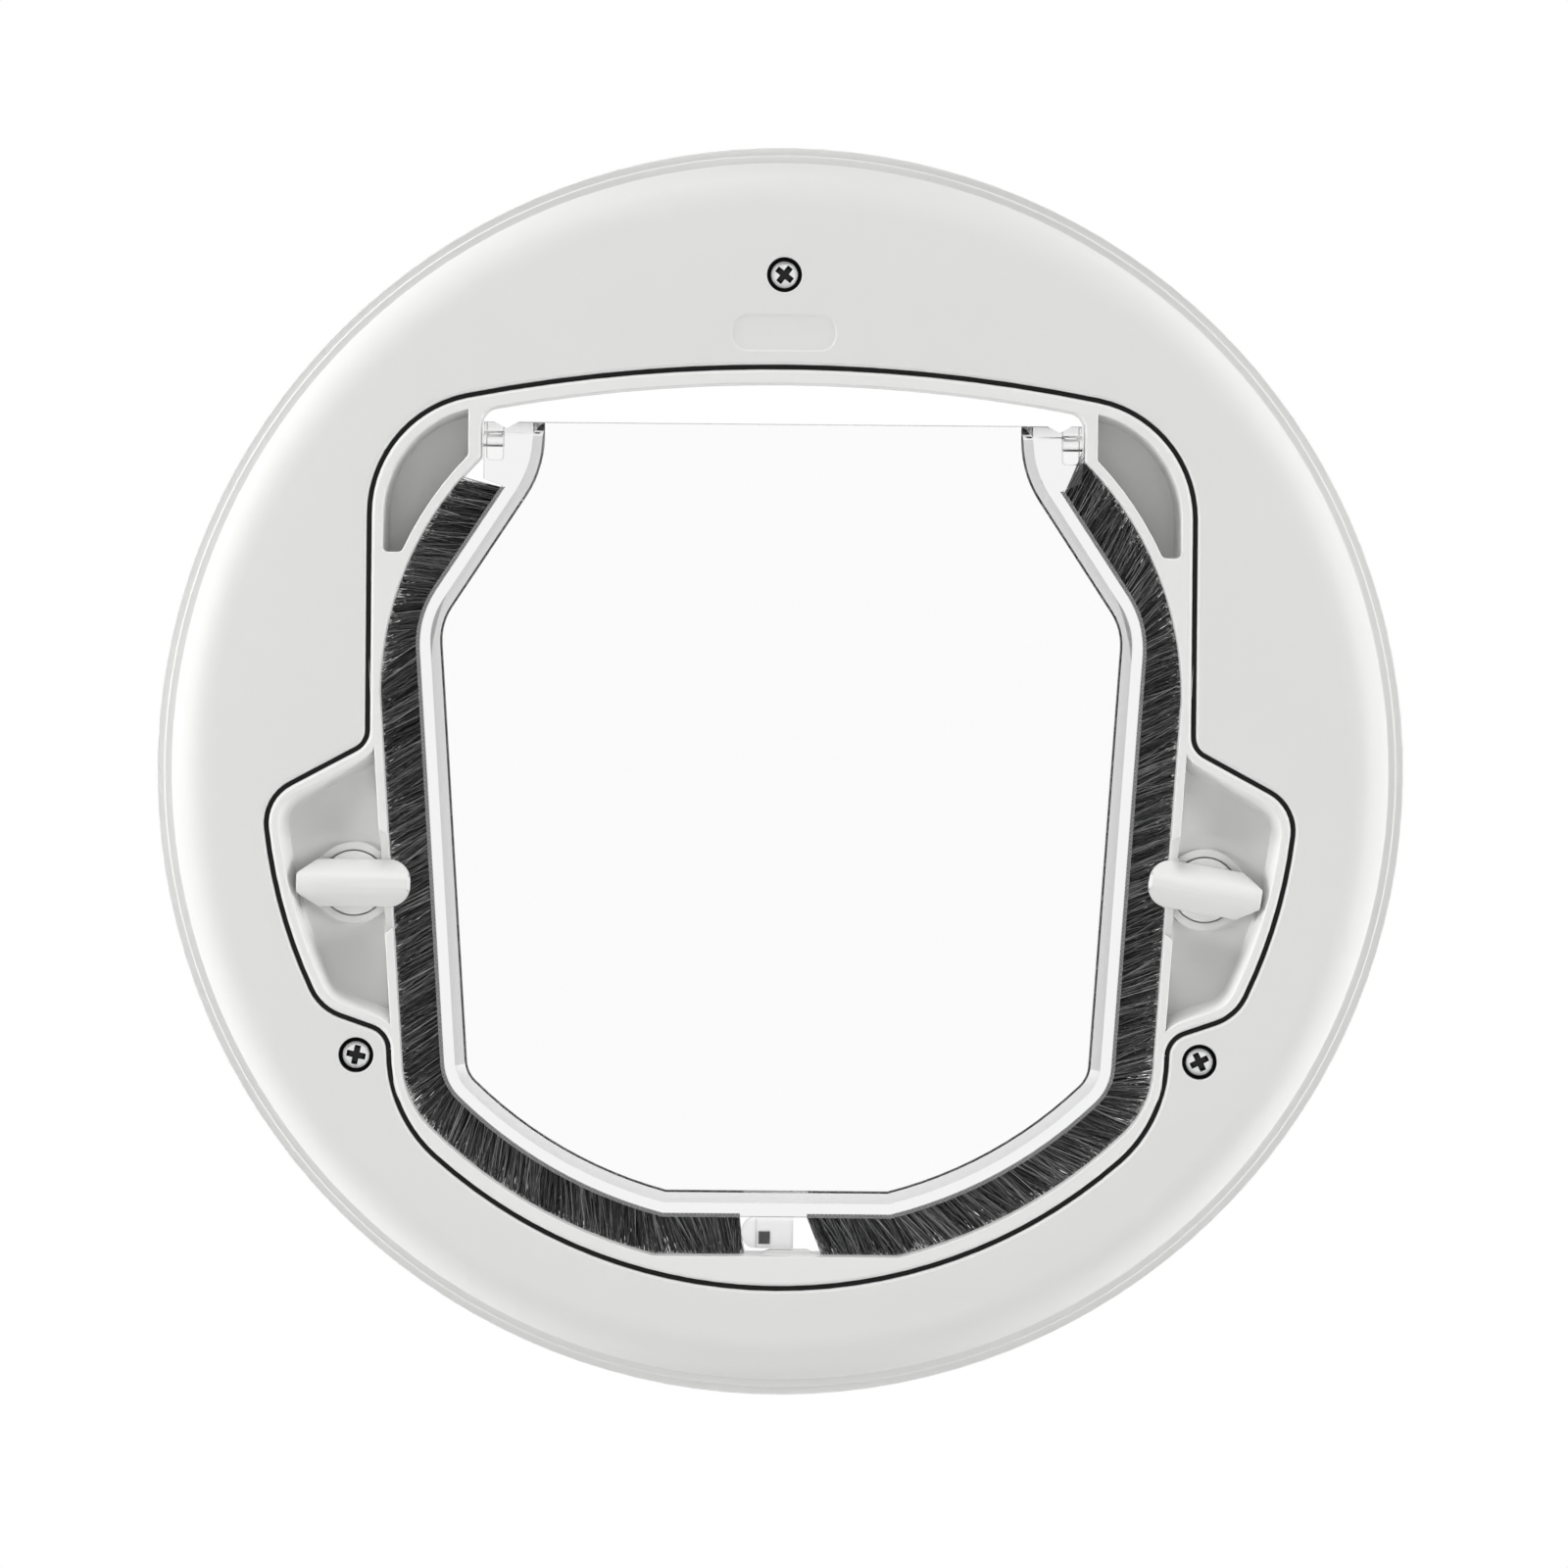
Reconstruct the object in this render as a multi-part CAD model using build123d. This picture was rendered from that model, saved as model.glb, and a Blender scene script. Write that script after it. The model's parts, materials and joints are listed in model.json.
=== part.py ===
"""Cat flap for a round hole in glass: two clamping rings, a tunnel with a clear flap, two turning latches.

Frame: X to the right and Z up as seen from the room, Y from the room to the garden.
The origin is the centre of the glass hole, halfway through the glass. Sizes are in millimetres.
"""
import math
import os

from build123d import *

os.makedirs("parts", exist_ok=True)

# Overall sizes
half_depth = 17.5
wall = 2.6
glass_thickness = 6.0
gasket_thickness = 1.5
glass_overlap = 21.0

# Tunnel, at its inner wall
tunnel_half_width = 94.4
tunnel_arch_top = 91.4
tunnel_arch_radius = 377.0
tunnel_wall = 2.2
shoulder_radius = 78.0
shoulder_inset = 23.2
shoulder_drop = 59.5
hinge_corner_fillet = 4.0
side_taper = 3.84
bowl_wall = 3.9
tunnel_corner_fillet = 22.0
sill_rise = 3.6
rear_rim_width = 3.8
rear_rim_depth = 9.0

# Seam between the inside ring and the tunnel frame, at its middle line
side_wall = 2.7
arch_wall = 3.8
seam_knee_height = 6.0
ear_width = 24.4
ear_top_slope = 28.3
ear_bottom_slope = 19.0
neck_inset = 5.6
neck_run = 17.84
neck_straight = 0.2
shoulder_fillet = 28.5
knee_fillet = 5.0
ear_top_fillet = 10.5
ear_bottom_fillet = 12.0
neck_fillet = 6.0
seam_gap = 1.1
seam_chamfer = 0.6
collar_wall = 2.0
collar_depth = 8.0

# Seal strips in the seams
seal_sink = 0.7
seal_depth = 3.0
seal_clearance = 0.1

# Rim of each ring, stepped near the glass and domed towards its face
flange_height = 1.8
step_width = 1.9
step_height = 2.3
side_height = 1.9
dome_width = 9.7
rib_count = 12
rib_thickness = 1.6
gasket_inset = 2.0

# Spigot that lines the hole in the glass, and the wall that carries the gasket
frame_clearance = 1.3
spigot_clearance = 0.8
spigot_wall = 2.4
spigot_front = -1.0
land_clearance = 1.2
land_wall = 2.2

# Pockets in the tunnel frame
corner_rim = 2.6
corner_draft = 1.4
corner_depth = 12.5
corner_drop = 26.5
corner_end_flat = 1.8
corner_inner_wall = 2.8
hinge_block_drop = 11.5
hinge_block_rear = 7.0
ear_rim = 2.2
ear_draft = 2.3
ear_depth = 8.0
ear_floor_thickness = 2.5
ear_wall = 2.0

# Latches
latch_offset = 3.1
latch_drop = 33.0
wing_length = 26.7
wing_width = 11.2
wing_crest = 3.4
wing_side_height = 1.2
wing_end_fillet = 5.0
wing_tip_width = 4.6
wing_tip_length = 4.8
wing_tip_fillet = 0.8
wing_chamfer = 0.7
wing_lift = 2.1
wing_clearance = 0.4
wing_sweep_clearance = 0.7
latch_disc_radius = 7.5
latch_collar_radius = 9.7
latch_collar_height = 1.2
latch_disc_clearance = 0.3
spindle_radius = 2.8
spindle_end = 1.5
spindle_clearance = 0.08
groove_depth = 0.7
groove_clearance = 0.05
washer_radius = 5.4
washer_thickness = 0.8
clip_radius = 4.5
clip_thickness = 0.8
clip_mouth = 3.0
axial_play = 0.1
right_latch_tilt = -9.5

# Clamp screws
top_screw_inset = 4.6
side_screw_offset = 7.7
side_screw_drop = 5.3
screw_head_radius = 3.3
screw_head_height = 2.4
screw_radius = 1.9
screw_length = 22.0
screw_hole_clearance = 0.35
screw_bite = 0.02
counterbore_radius = 4.15
counterbore_depth = 5.0
screw_washer_thickness = 0.8
screw_washer_clearance = 0.1
boss_radius = 5.5
tab_thickness = 3.0
tab_half_width = 6.5
cross_width = 1.0
cross_length = 4.2
cross_depth = 1.2

# Badge field, left bare
badge_rise = 8.0
badge_length = 25.0
badge_width = 8.9
badge_fillet = 4.0
badge_slope_width = 0.5
badge_depth = 0.25

# Flap
hinge_drop = 13.9
pane_thickness = 3.0
rim_thickness = 9.0
rim_width = 6.2
rim_slope_width = 2.8
pile_width = 8.9
lug_width = 14.9
lug_side_gap = 0.6
lug_drop = 9.0
lug_foot_inset = 4.9
lug_foot_drop = 1.6
knuckle_radius = 4.5
flap_shoulder_slope = 56.7
flap_shoulder_fillet = 24.0
flap_window_fillet = 14.0
flap_neck_fillet = 26.0
flap_corner_fillet = 13.0
flap_bottom_gap = 8.7
notch_inset = 5.9
notch_width = 5.8
notch_depth = 1.6
lobe_gap = 0.7
lobe_drop = 4.6
lobe_rise = 1.8
lobe_fillet = 1.0
lobe_depth = 0.9
groove_width = 5.0
groove_sink = 0.9

# Pile strips
backing_clearance = 0.1
pile_thickness = 6.0
pile_wall_gap = 0.4
pile_root_gap = 0.05
pile_top_drop = 10.9
pile_left_gap = 0.3
pile_right_gap = 3.2
pile_end_slant = 3.3

# Hinge pins and bushes
pin_radius = 1.5
pin_in_lug = 4.8
pin_in_bush = 5.5
pin_fit = 0.02
bush_radius = 3.0
bush_length = 6.0
bush_fit = 0.02
running_fit = 0.06

# Centre tab and magnets
tab_left = -4.8
tab_right = 4.0
tab_plate = 5.0
fin_radius = 3.9
fin_inset = 0.4
fin_rise = 3.6
fin_plate = 2.4
lip_left = -3.5
lip_right = 9.0
lip_height = 1.0
lip_slope_width = 1.6
lip_depth = 10.0
lip_clearance = 0.4
magnet_length = 2.6
magnet_height = 2.9
magnet_thickness = 3.0
magnet_clearance = 0.1
magnet_floor = 1.0
magnet_side_wall = 0.7
sill_magnet_length = 12.0
sill_magnet_height = 2.6
sill_magnet_thickness = 6.0
sill_box_wall = 1.2

# Seam, insert and rings, which follow from the tunnel
seam_half_width = tunnel_half_width + side_wall
seam_arch_top = tunnel_arch_top + arch_wall
seam_arch_radius = tunnel_arch_radius + arch_wall
insert_radius = seam_half_width + ear_width
neck_half_width = seam_half_width - neck_inset
neck_end = math.sqrt(insert_radius**2 - neck_half_width**2)
neck_height = neck_run - neck_end
neck_turn = math.radians(90 - ear_bottom_slope)
bowl_run = neck_run - neck_fillet * math.tan(neck_turn / 2) - neck_straight
bowl_fillet = bowl_run * (2 * neck_end - bowl_run) / (2 * (insert_radius - neck_half_width))
spigot_radius = insert_radius + frame_clearance + spigot_wall
glass_hole_radius = spigot_radius + spigot_clearance
land_radius = glass_hole_radius + land_clearance
ring_radius = glass_hole_radius + glass_overlap
step_radius = ring_radius - step_width
side_radius = step_radius - step_width
dome_inner = side_radius - dome_width
cavity_radius = side_radius - wall
cutter_reach = 2 * ring_radius

# Places in X and Z, which follow from the tunnel and the seam
tunnel_bowl_radius = insert_radius - bowl_wall
sill_height = sill_rise - tunnel_bowl_radius
hinge_half_width = tunnel_half_width - shoulder_inset
hinge_height = tunnel_arch_top - hinge_drop
shoulder_center_x = tunnel_half_width - shoulder_radius
shoulder_center_z = hinge_height - shoulder_drop
hinge_block_low = hinge_height - hinge_block_drop
corner_low_end = hinge_height - corner_drop
flap_top = hinge_height + knuckle_radius
lug_outer = hinge_half_width - lug_side_gap
lug_inner = hinge_half_width - lug_width
lug_foot = hinge_half_width - lug_foot_inset
lug_low_end = hinge_height - lug_drop
notch_place = hinge_half_width - notch_inset
pile_top_end = hinge_height - pile_top_drop
fin_x = tab_left + fin_inset
tab_low_end = sill_height + lip_height + lip_clearance
flap_low_end = sill_height + flap_bottom_gap
pile_left_end = fin_radius - fin_x + pile_left_gap
pile_right_end = tab_right + pile_right_gap
latch_x = seam_half_width + latch_offset
latch_z = seam_knee_height - latch_drop
badge_height = seam_arch_top + badge_rise
side_screw_x = neck_half_width + side_screw_offset
side_screw_z = neck_height - side_screw_drop
screw_places = (
    (0.0, insert_radius - top_screw_inset),
    (-side_screw_x, side_screw_z),
    (side_screw_x, side_screw_z),
)

# Depths along Y
front = -half_depth
rear = half_depth
glass_face = glass_thickness / 2
ring_back = glass_face + gasket_thickness
face_inside = half_depth - wall
ear_floor = front + ear_depth
head_rear = ear_floor + ear_floor_thickness
screw_seat = front + counterbore_depth - screw_washer_thickness
tab_half = tab_thickness / 2
wing_bottom = ear_floor - wing_lift
notch_floor = wing_bottom + wing_clearance
corner_floor = front + corner_depth
washer_front = head_rear + axial_play
clip_front = washer_front + washer_thickness + axial_play
clip_rear = clip_front + clip_thickness


def slab(outline, front_y, rear_y):
    """Extrude an outline drawn in X and Z between two depths along Y."""
    return extrude(Plane.XZ.offset(-rear_y) * outline, amount=rear_y - front_y)


def polygon(points):
    """Closed outline through points given in X and Z."""
    return make_face(Polyline(*points, close=True))


def mirrored(points):
    """Closed outline that is symmetrical about X = 0, from the points of its right half."""
    left_half = [(-x, z) for x, z in reversed(points) if x > 0]
    return polygon(points + left_half)


def disc(radius, x=0.0, z=0.0):
    """Full circle in X and Z."""
    return Pos(x, z) * Circle(radius)


def block(left, right, low, high):
    """Rectangle in X and Z given by its edges."""
    return Pos((left + right) / 2, (low + high) / 2) * Rectangle(right - left, high - low)


def both_sides(outline):
    """The outline together with its mirror image about X = 0."""
    return outline + mirror(outline, about=Plane.YZ)


def rounded(outline, corners):
    """Fillet the corner nearest to each (x, z, radius) and to its mirror image."""
    for x, z, radius in corners:
        for side in (-1, 1):
            nearest = outline.vertices().sort_by_distance((side * x, z, 0))[0]
            outline = fillet(nearest, radius)
    return outline


def grown(outline, amount):
    """Outline moved outwards by an amount, or inwards if the amount is negative."""
    return offset(outline, amount, kind=Kind.INTERSECTION)


def arch_height(top, radius, x):
    """Height at x of an arch with its crown at the given top."""
    return top - radius + math.sqrt(radius**2 - x**2)


def circle_height(radius, x):
    """Distance below the centre at which a circle reaches x."""
    return math.sqrt(radius**2 - x**2)


def ring_around(radius, thickness, front_y, rear_y):
    """Round wall with the given inner radius."""
    return slab(disc(radius + thickness) - disc(radius), front_y, rear_y)


def seam_outline():
    """Middle line of the seam: arched top, two ears on a circle, and a round bowl below."""
    reach = ring_radius
    ear_top_end = seam_knee_height - (reach - seam_half_width) * math.tan(math.radians(ear_top_slope))
    ear_low_end = neck_height + (reach - neck_half_width) * math.tan(math.radians(ear_bottom_slope))
    sides = mirrored(
        [
            (seam_half_width, reach),
            (seam_half_width, seam_knee_height),
            (reach, ear_top_end),
            (reach, ear_low_end),
            (neck_half_width, neck_height),
            (neck_half_width, -reach),
        ]
    )
    arch = disc(seam_arch_radius, 0, seam_arch_top - seam_arch_radius)
    bowl = disc(insert_radius) + block(-reach, reach, seam_knee_height, reach)
    outline = sides & bowl & arch
    shoulder = arch_height(seam_arch_top, seam_arch_radius, seam_half_width)
    ear_top = seam_knee_height - (insert_radius - seam_half_width) * math.tan(math.radians(ear_top_slope))
    ear_low_x = circle_height(insert_radius, neck_height)
    return rounded(
        outline,
        [
            (seam_half_width, shoulder, shoulder_fillet),
            (seam_half_width, seam_knee_height, knee_fillet),
            (insert_radius, ear_top, ear_top_fillet),
            (ear_low_x, neck_height, ear_bottom_fillet),
            (neck_half_width, neck_height, neck_fillet),
            (neck_half_width, -neck_end, bowl_fillet),
        ],
    )


def side_x(z, inset):
    """Half width of the tapered side at a height, moved inwards by an inset."""
    slope = math.tan(math.radians(side_taper))
    widest = shoulder_center_x + shoulder_radius
    return widest - (shoulder_center_z - z) * slope - inset / math.cos(math.radians(side_taper))


def bowl_corner(radius, inset):
    """Point at which the tapered side, moved inwards by an inset, meets a bowl of the given radius."""
    slope = math.tan(math.radians(side_taper))
    middle_x = side_x(0, inset)
    square = 1 + slope**2
    z = -(middle_x * slope + math.sqrt(square * radius**2 - middle_x**2)) / square
    return side_x(z, inset), z


def tunnel_outline():
    """Inner wall of the tunnel: arched ceiling, hinge walls, round shoulders, tapered sides and bowl."""
    channel = block(-hinge_half_width, hinge_half_width, shoulder_center_z, ring_radius)
    shoulder = disc(shoulder_radius, shoulder_center_x, shoulder_center_z)
    shoulders = both_sides(shoulder) & block(-ring_radius, ring_radius, shoulder_center_z, ring_radius)
    ceiling = disc(tunnel_arch_radius, 0, tunnel_arch_top - tunnel_arch_radius)
    sides = mirrored(
        [
            (side_x(shoulder_center_z, 0), shoulder_center_z),
            (side_x(sill_height, 0), sill_height),
        ]
    )
    outline = ((channel + shoulders) & ceiling) + (sides & disc(tunnel_bowl_radius))
    corner_z = arch_height(tunnel_arch_top, tunnel_arch_radius, hinge_half_width)
    return rounded(
        outline,
        [
            (hinge_half_width, corner_z, hinge_corner_fillet),
            (*bowl_corner(tunnel_bowl_radius, 0), tunnel_corner_fillet),
        ],
    )


def flap_outline(inset, neck, shoulder_round, corner_round, top):
    """Outline of the flap, or of the window inside its rim when there is an inset."""
    slope = math.radians(flap_shoulder_slope)
    foot_x = lug_foot - inset * math.sin(slope)
    foot_z = lug_low_end - lug_foot_drop - inset * math.cos(slope)
    reach = pile_width + inset
    steepness = math.tan(slope)
    knee_fall = 1 + steepness * math.tan(math.radians(side_taper))
    knee_z = (foot_z - (side_x(0, reach) - foot_x) * steepness) / knee_fall
    knee_x = side_x(knee_z, reach)
    bottom = flap_low_end + inset
    bowl = tunnel_bowl_radius - reach
    if neck > foot_x:
        shoulder_points = [(neck, top), (neck, lug_low_end), (foot_x, foot_z)]
    else:
        turn_z = foot_z + (foot_x - neck) * steepness
        shoulder_points = [(neck, top), (neck, turn_z)]
    outline = mirrored(shoulder_points + [(knee_x, knee_z), (side_x(bottom, reach), bottom)])
    outline = outline & (disc(bowl) + block(-ring_radius, ring_radius, 0, ring_radius))
    corners = [
        (knee_x, knee_z, shoulder_round),
        (*bowl_corner(bowl, reach), corner_round),
    ]
    if neck <= foot_x:
        corners.append((neck, turn_z, flap_neck_fillet))
    return rounded(outline, corners)


def ring_profile(land, face):
    """Half section of a domed disc from the glass side out to its face, as radius and depth."""
    flange_top = land + flange_height
    step_top = flange_top + step_height
    dome_low = step_top + side_height
    drop = face - dome_low
    dome_radius = (dome_width**2 + drop**2) / (2 * drop)
    dome = RadiusArc((side_radius, dome_low), (dome_inner, face), -dome_radius)
    steps = Polyline(
        (dome_inner, face),
        (0, face),
        (0, land),
        (ring_radius, land),
        (ring_radius, flange_top),
        (step_radius, flange_top),
        (step_radius, step_top),
        (side_radius, step_top),
        (side_radius, dome_low),
    )
    return make_face(Curve() + [dome, steps])


def cavity_profile(land, face):
    """Half section of the hollow in a domed ring, open towards the glass."""
    dome_low = land + flange_height + step_height + side_height
    return make_face(
        Polyline(
            (0, land),
            (cavity_radius, land),
            (cavity_radius, dome_low),
            (dome_inner, face - wall),
            (0, face - wall),
            close=True,
        )
    )


def domed_ring(opening, collar_y):
    """Ring shell with its face at positive Y: domed rim, gasket wall, ribs and a collar round its opening."""
    domed_disc = revolve(ring_profile(ring_back, half_depth), Axis.Y)
    shell = domed_disc - revolve(cavity_profile(ring_back, half_depth), Axis.Y)
    shell += ring_around(land_radius, land_wall, ring_back, face_inside)
    rib_start = land_radius + land_wall / 2
    rib_end = cavity_radius + wall / 2
    rib_plan = block(rib_start, rib_end, -rib_thickness / 2, rib_thickness / 2)
    rib = slab(rib_plan, ring_back, face_inside) & domed_disc
    rib_step = 360 / rib_count
    shell += [Rot(Y=(index + 0.5) * rib_step) * rib for index in range(rib_count)]
    shell += slab(grown(opening, collar_wall) - opening, collar_y, face_inside)
    shell -= slab(opening, ring_back - glass_thickness, rear)
    edge_loop = shell.faces().sort_by(Axis.Y)[-1].inner_wires().sort_by(SortBy.LENGTH)[-1]
    return chamfer(edge_loop.edges(), seam_chamfer)


def bosses(radius, front_y, rear_y):
    """Round posts at the three screw places."""
    return [slab(disc(radius, x, z), front_y, rear_y) for x, z in screw_places]


def inside_ring():
    """Ring on the room side, its face turned to -Y, with sunk screw holes and a bare badge field."""
    opening = grown(seam, seam_gap / 2)
    ring = mirror(domed_ring(opening, half_depth - collar_depth), about=Plane.XZ)
    ring += bosses(boss_radius, -face_inside, -tab_half)
    ring -= bosses(counterbore_radius, front, front + counterbore_depth)
    ring -= bosses(screw_radius + screw_hole_clearance, front, -tab_half)
    field = RectangleRounded(
        badge_length - 2 * badge_slope_width,
        badge_width - 2 * badge_slope_width,
        badge_fillet - badge_slope_width,
    )
    slope = math.degrees(math.atan2(badge_slope_width, badge_depth))
    field_floor = Plane.XZ.offset(-front - badge_depth) * Pos(0, badge_height) * field
    ring -= extrude(field_floor, amount=badge_depth, taper=-slope)
    return ring


def outside_ring():
    """Ring on the garden side, with the spigot that lines the glass and the posts that take the screws."""
    opening = grown(tunnel, rear_rim_width + seam_gap)
    ring = domed_ring(opening, rear - collar_depth)
    ring += ring_around(spigot_radius - spigot_wall, spigot_wall, spigot_front, face_inside)
    ring += bosses(boss_radius, tab_half, face_inside)
    ring -= bosses(screw_radius + screw_bite, tab_half, screw_seat + screw_length + wall / 2)
    return ring


def ear_pockets():
    """Drafted hollows in the two ears, straight on the tunnel's side."""
    draft = math.degrees(math.atan2(ear_draft, ear_depth))
    floor_outline = Plane.XZ.offset(-ear_floor) * grown(insert, -ear_rim - ear_draft)
    hollow = extrude(floor_outline, amount=ear_depth, taper=-draft)
    zone = block(hinge_half_width, ring_radius, neck_height, seam_knee_height + knee_fillet)
    zone = both_sides(zone) - grown(tunnel, ear_wall)
    return hollow & slab(zone, front, ear_floor)


def corner_pockets(tunnel_outside):
    """Hollows above the tunnel's shoulders, drafted towards the seam, with round lower ends."""
    draft = math.degrees(math.atan2(corner_draft, corner_depth))
    floor_outline = Plane.XZ.offset(-corner_floor) * grown(insert, -corner_rim - corner_draft)
    hollow = extrude(floor_outline, amount=corner_depth, taper=-draft)
    inner_wall = hinge_half_width + corner_inner_wall
    zone = both_sides(block(inner_wall, ring_radius, corner_low_end, ring_radius))
    mouths = (grown(insert, -corner_rim) - tunnel_outside) & zone
    outer_x = seam_half_width - seam_gap / 2 - corner_rim
    rise = corner_low_end - shoulder_center_z
    inner_x = shoulder_center_x + circle_height(shoulder_radius + tunnel_wall, rise)
    end_fillet = (outer_x - inner_x - corner_end_flat) / 2
    ends = [(x, corner_low_end, end_fillet) for x in (inner_x, outer_x)]
    return hollow & slab(rounded(mouths, ends), front, corner_floor)


def tunnel_frame():
    """Moulding inside the seam: tunnel tube, front head with its pockets, hinge blocks and screw tabs."""
    tunnel_outside = grown(tunnel, tunnel_wall)
    head = slab(insert, front, head_rear)
    frame = chamfer(head.edges().group_by(Axis.Y)[0], seam_chamfer)
    frame += slab(tunnel_outside, front + seam_chamfer, rear)
    frame += slab(grown(tunnel, rear_rim_width), rear - rear_rim_depth, rear)
    hinge_zone = insert & both_sides(block(hinge_half_width, ring_radius, hinge_block_low, ring_radius))
    frame += slab(hinge_zone, head_rear, hinge_block_rear)
    corner_zone = both_sides(block(hinge_half_width, ring_radius, corner_low_end - wall, ring_radius))
    frame += slab(insert & corner_zone, head_rear, corner_floor + wall)
    for x, z in screw_places:
        reach = math.hypot(x, z)
        angle = math.degrees(math.atan2(z, x))
        tab = Rot(Z=angle) * block(tunnel_arch_top, reach + boss_radius, -tab_half_width, tab_half_width)
        tab &= disc(spigot_radius - spigot_wall - seam_gap)
        frame += slab(tab, -tab_half, tab_half)
    frame -= corner_pockets(tunnel_outside)
    frame -= ear_pockets()
    sweep_radius = wing_length / 2 + wing_sweep_clearance
    disc_room = latch_disc_radius + latch_disc_clearance
    spindle_room = spindle_radius + spindle_clearance
    for side in (-1, 1):
        x = side * latch_x
        frame += slab(disc(latch_collar_radius, x, latch_z), ear_floor - latch_collar_height, ear_floor)
        frame -= slab(disc(disc_room, x, latch_z), front, ear_floor)
        frame -= slab(disc(sweep_radius, x, latch_z), front, notch_floor)
        frame -= slab(disc(spindle_room, x, latch_z), front, head_rear)
    frame -= bosses(screw_radius + screw_hole_clearance, -tab_half, tab_half)
    frame += magnet_room()
    frame -= slab(tunnel, front, rear)
    frame += sill_lip()
    frame -= sill_magnet(magnet_clearance)
    for side in (-1, 1):
        bore = Pos(side * hinge_half_width, 0, hinge_height) * Rot(Y=side * 90)
        frame -= bore * cylinder_up(bush_radius + bush_fit, bush_length)
    return frame


def cylinder_up(radius, height):
    """Cylinder that stands on the origin along +Z."""
    return Cylinder(radius, height, align=(Align.CENTER, Align.CENTER, Align.MIN))


def magnet_room():
    """Box under the sill that holds the sill magnet."""
    half = sill_magnet_length / 2 + sill_box_wall
    low = sill_height - tunnel_wall - sill_magnet_height - sill_box_wall
    depth = sill_magnet_thickness / 2 + sill_box_wall
    return slab(block(-half, half, low, sill_height), -depth, depth)


def sill_lip():
    """Low raised lip on the sill, under the flap's centre tab."""
    low = sill_height - tunnel_wall / 2
    high = sill_height + lip_height
    plan = polygon(
        [
            (lip_left, low),
            (lip_right, low),
            (lip_right, sill_height),
            (lip_right - lip_slope_width, high),
            (lip_left + lip_slope_width, high),
            (lip_left, sill_height),
        ]
    )
    return slab(plan, -lip_depth / 2, lip_depth / 2)


def sill_magnet(growth=0.0):
    """Magnet under the tunnel's sill, grown by a clearance when it is used as a cutter."""
    half = sill_magnet_length / 2 + growth
    high = sill_height - tunnel_wall + growth
    low = sill_height - tunnel_wall - sill_magnet_height - growth
    depth = sill_magnet_thickness / 2 + growth
    return slab(block(-half, half, low, high), -depth, depth)


def flap_magnet(growth=0.0):
    """Magnet in the flap's centre tab, grown by a clearance when it is used as a cutter."""
    middle = tab_left + magnet_side_wall + magnet_length / 2
    low = tab_low_end + magnet_floor
    half = magnet_length / 2 + growth
    depth = magnet_thickness / 2 + growth
    plan = block(middle - half, middle + half, low - growth, low + magnet_height + growth)
    return slab(plan, -depth, depth)


def groove_zone(sign, gap):
    """Region of one pile strip along the flap's edge, from below the hinge lug to the centre tab."""
    end = pile_right_end if sign > 0 else pile_left_end
    zone = block(end + gap, ring_radius, -ring_radius, pile_top_end - gap)
    return zone if sign > 0 else mirror(zone, about=Plane.YZ)


def centre_tab():
    """Tab under the flap that holds its magnet, with a round thin fin towards the left pile."""
    tab = block(tab_left, tab_right, tab_low_end, flap_low_end + groove_sink)
    fin = disc(fin_radius, fin_x, tab_low_end + fin_rise)
    fin &= block(fin_x - fin_radius, tab_right, tab_low_end, flap_low_end + groove_sink)
    return slab(tab, -tab_plate / 2, tab_plate / 2) + slab(fin, -fin_plate / 2, fin_plate / 2)


def lug_lobe(side):
    """Outline of the shallow hollow in the outer lobe of a hinge lug."""
    width = notch_inset - lug_side_gap - 2 * lobe_gap
    height = lobe_drop + lobe_rise
    middle_x = lug_outer - lobe_gap - width / 2
    middle_z = hinge_height + (lobe_rise - lobe_drop) / 2
    return Pos(side * middle_x, middle_z) * RectangleRounded(width, height, lobe_fillet)


def flap_panel():
    """Clear flap: thin pane, raised rim with a sloped inner flank, hinge lugs, pile groove and centre tab."""
    pane_half = pane_thickness / 2
    rim_half = rim_thickness / 2
    panel = slab(flap, -rim_half, rim_half)
    slope = math.degrees(math.atan2(rim_slope_width, rim_half - pane_half))
    hollow = extrude(Plane.XZ.offset(pane_half) * window, amount=rim_half - pane_half, taper=-slope)
    panel -= hollow
    panel -= mirror(hollow, about=Plane.XZ)
    for sign in (-1, 1):
        groove = (flap - grown(flap, -groove_sink)) & groove_zone(sign, 0)
        panel -= slab(groove, -groove_width / 2, groove_width / 2)
    panel += centre_tab()
    panel -= flap_magnet(magnet_clearance)
    upwards = (Align.CENTER, Align.CENTER, Align.MIN)
    top_room = Pos(0, 0, hinge_height) * Box(cutter_reach, cutter_reach, cutter_reach, align=upwards)
    knuckle = Pos(0, 0, hinge_height) * Rot(Y=90) * Cylinder(knuckle_radius, cutter_reach)
    panel -= top_room - knuckle
    for side in (-1, 1):
        notch = polygon(
            [
                (side * (notch_place - notch_width / 2), flap_top),
                (side * notch_place, flap_top - notch_depth),
                (side * (notch_place + notch_width / 2), flap_top),
            ]
        )
        panel -= slab(notch, -rim_half, rim_half)
        lobe = lug_lobe(side)
        panel -= slab(lobe, -rim_half, lobe_depth - rim_half)
        panel -= slab(lobe, rim_half - lobe_depth, rim_half)
        hole = Pos(side * lug_outer, 0, hinge_height) * Rot(Y=-side * 90)
        panel -= hole * cylinder_up(pin_radius + pin_fit, pin_in_lug + pin_fit)
    return panel


def hinge_pin(side):
    """Pin that is fixed in the flap's lug and turns in the bush."""
    start = Pos(side * (lug_outer - pin_in_lug), 0, hinge_height) * Rot(Y=side * 90)
    return start * cylinder_up(pin_radius, pin_in_lug + lug_side_gap + pin_in_bush)


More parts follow.
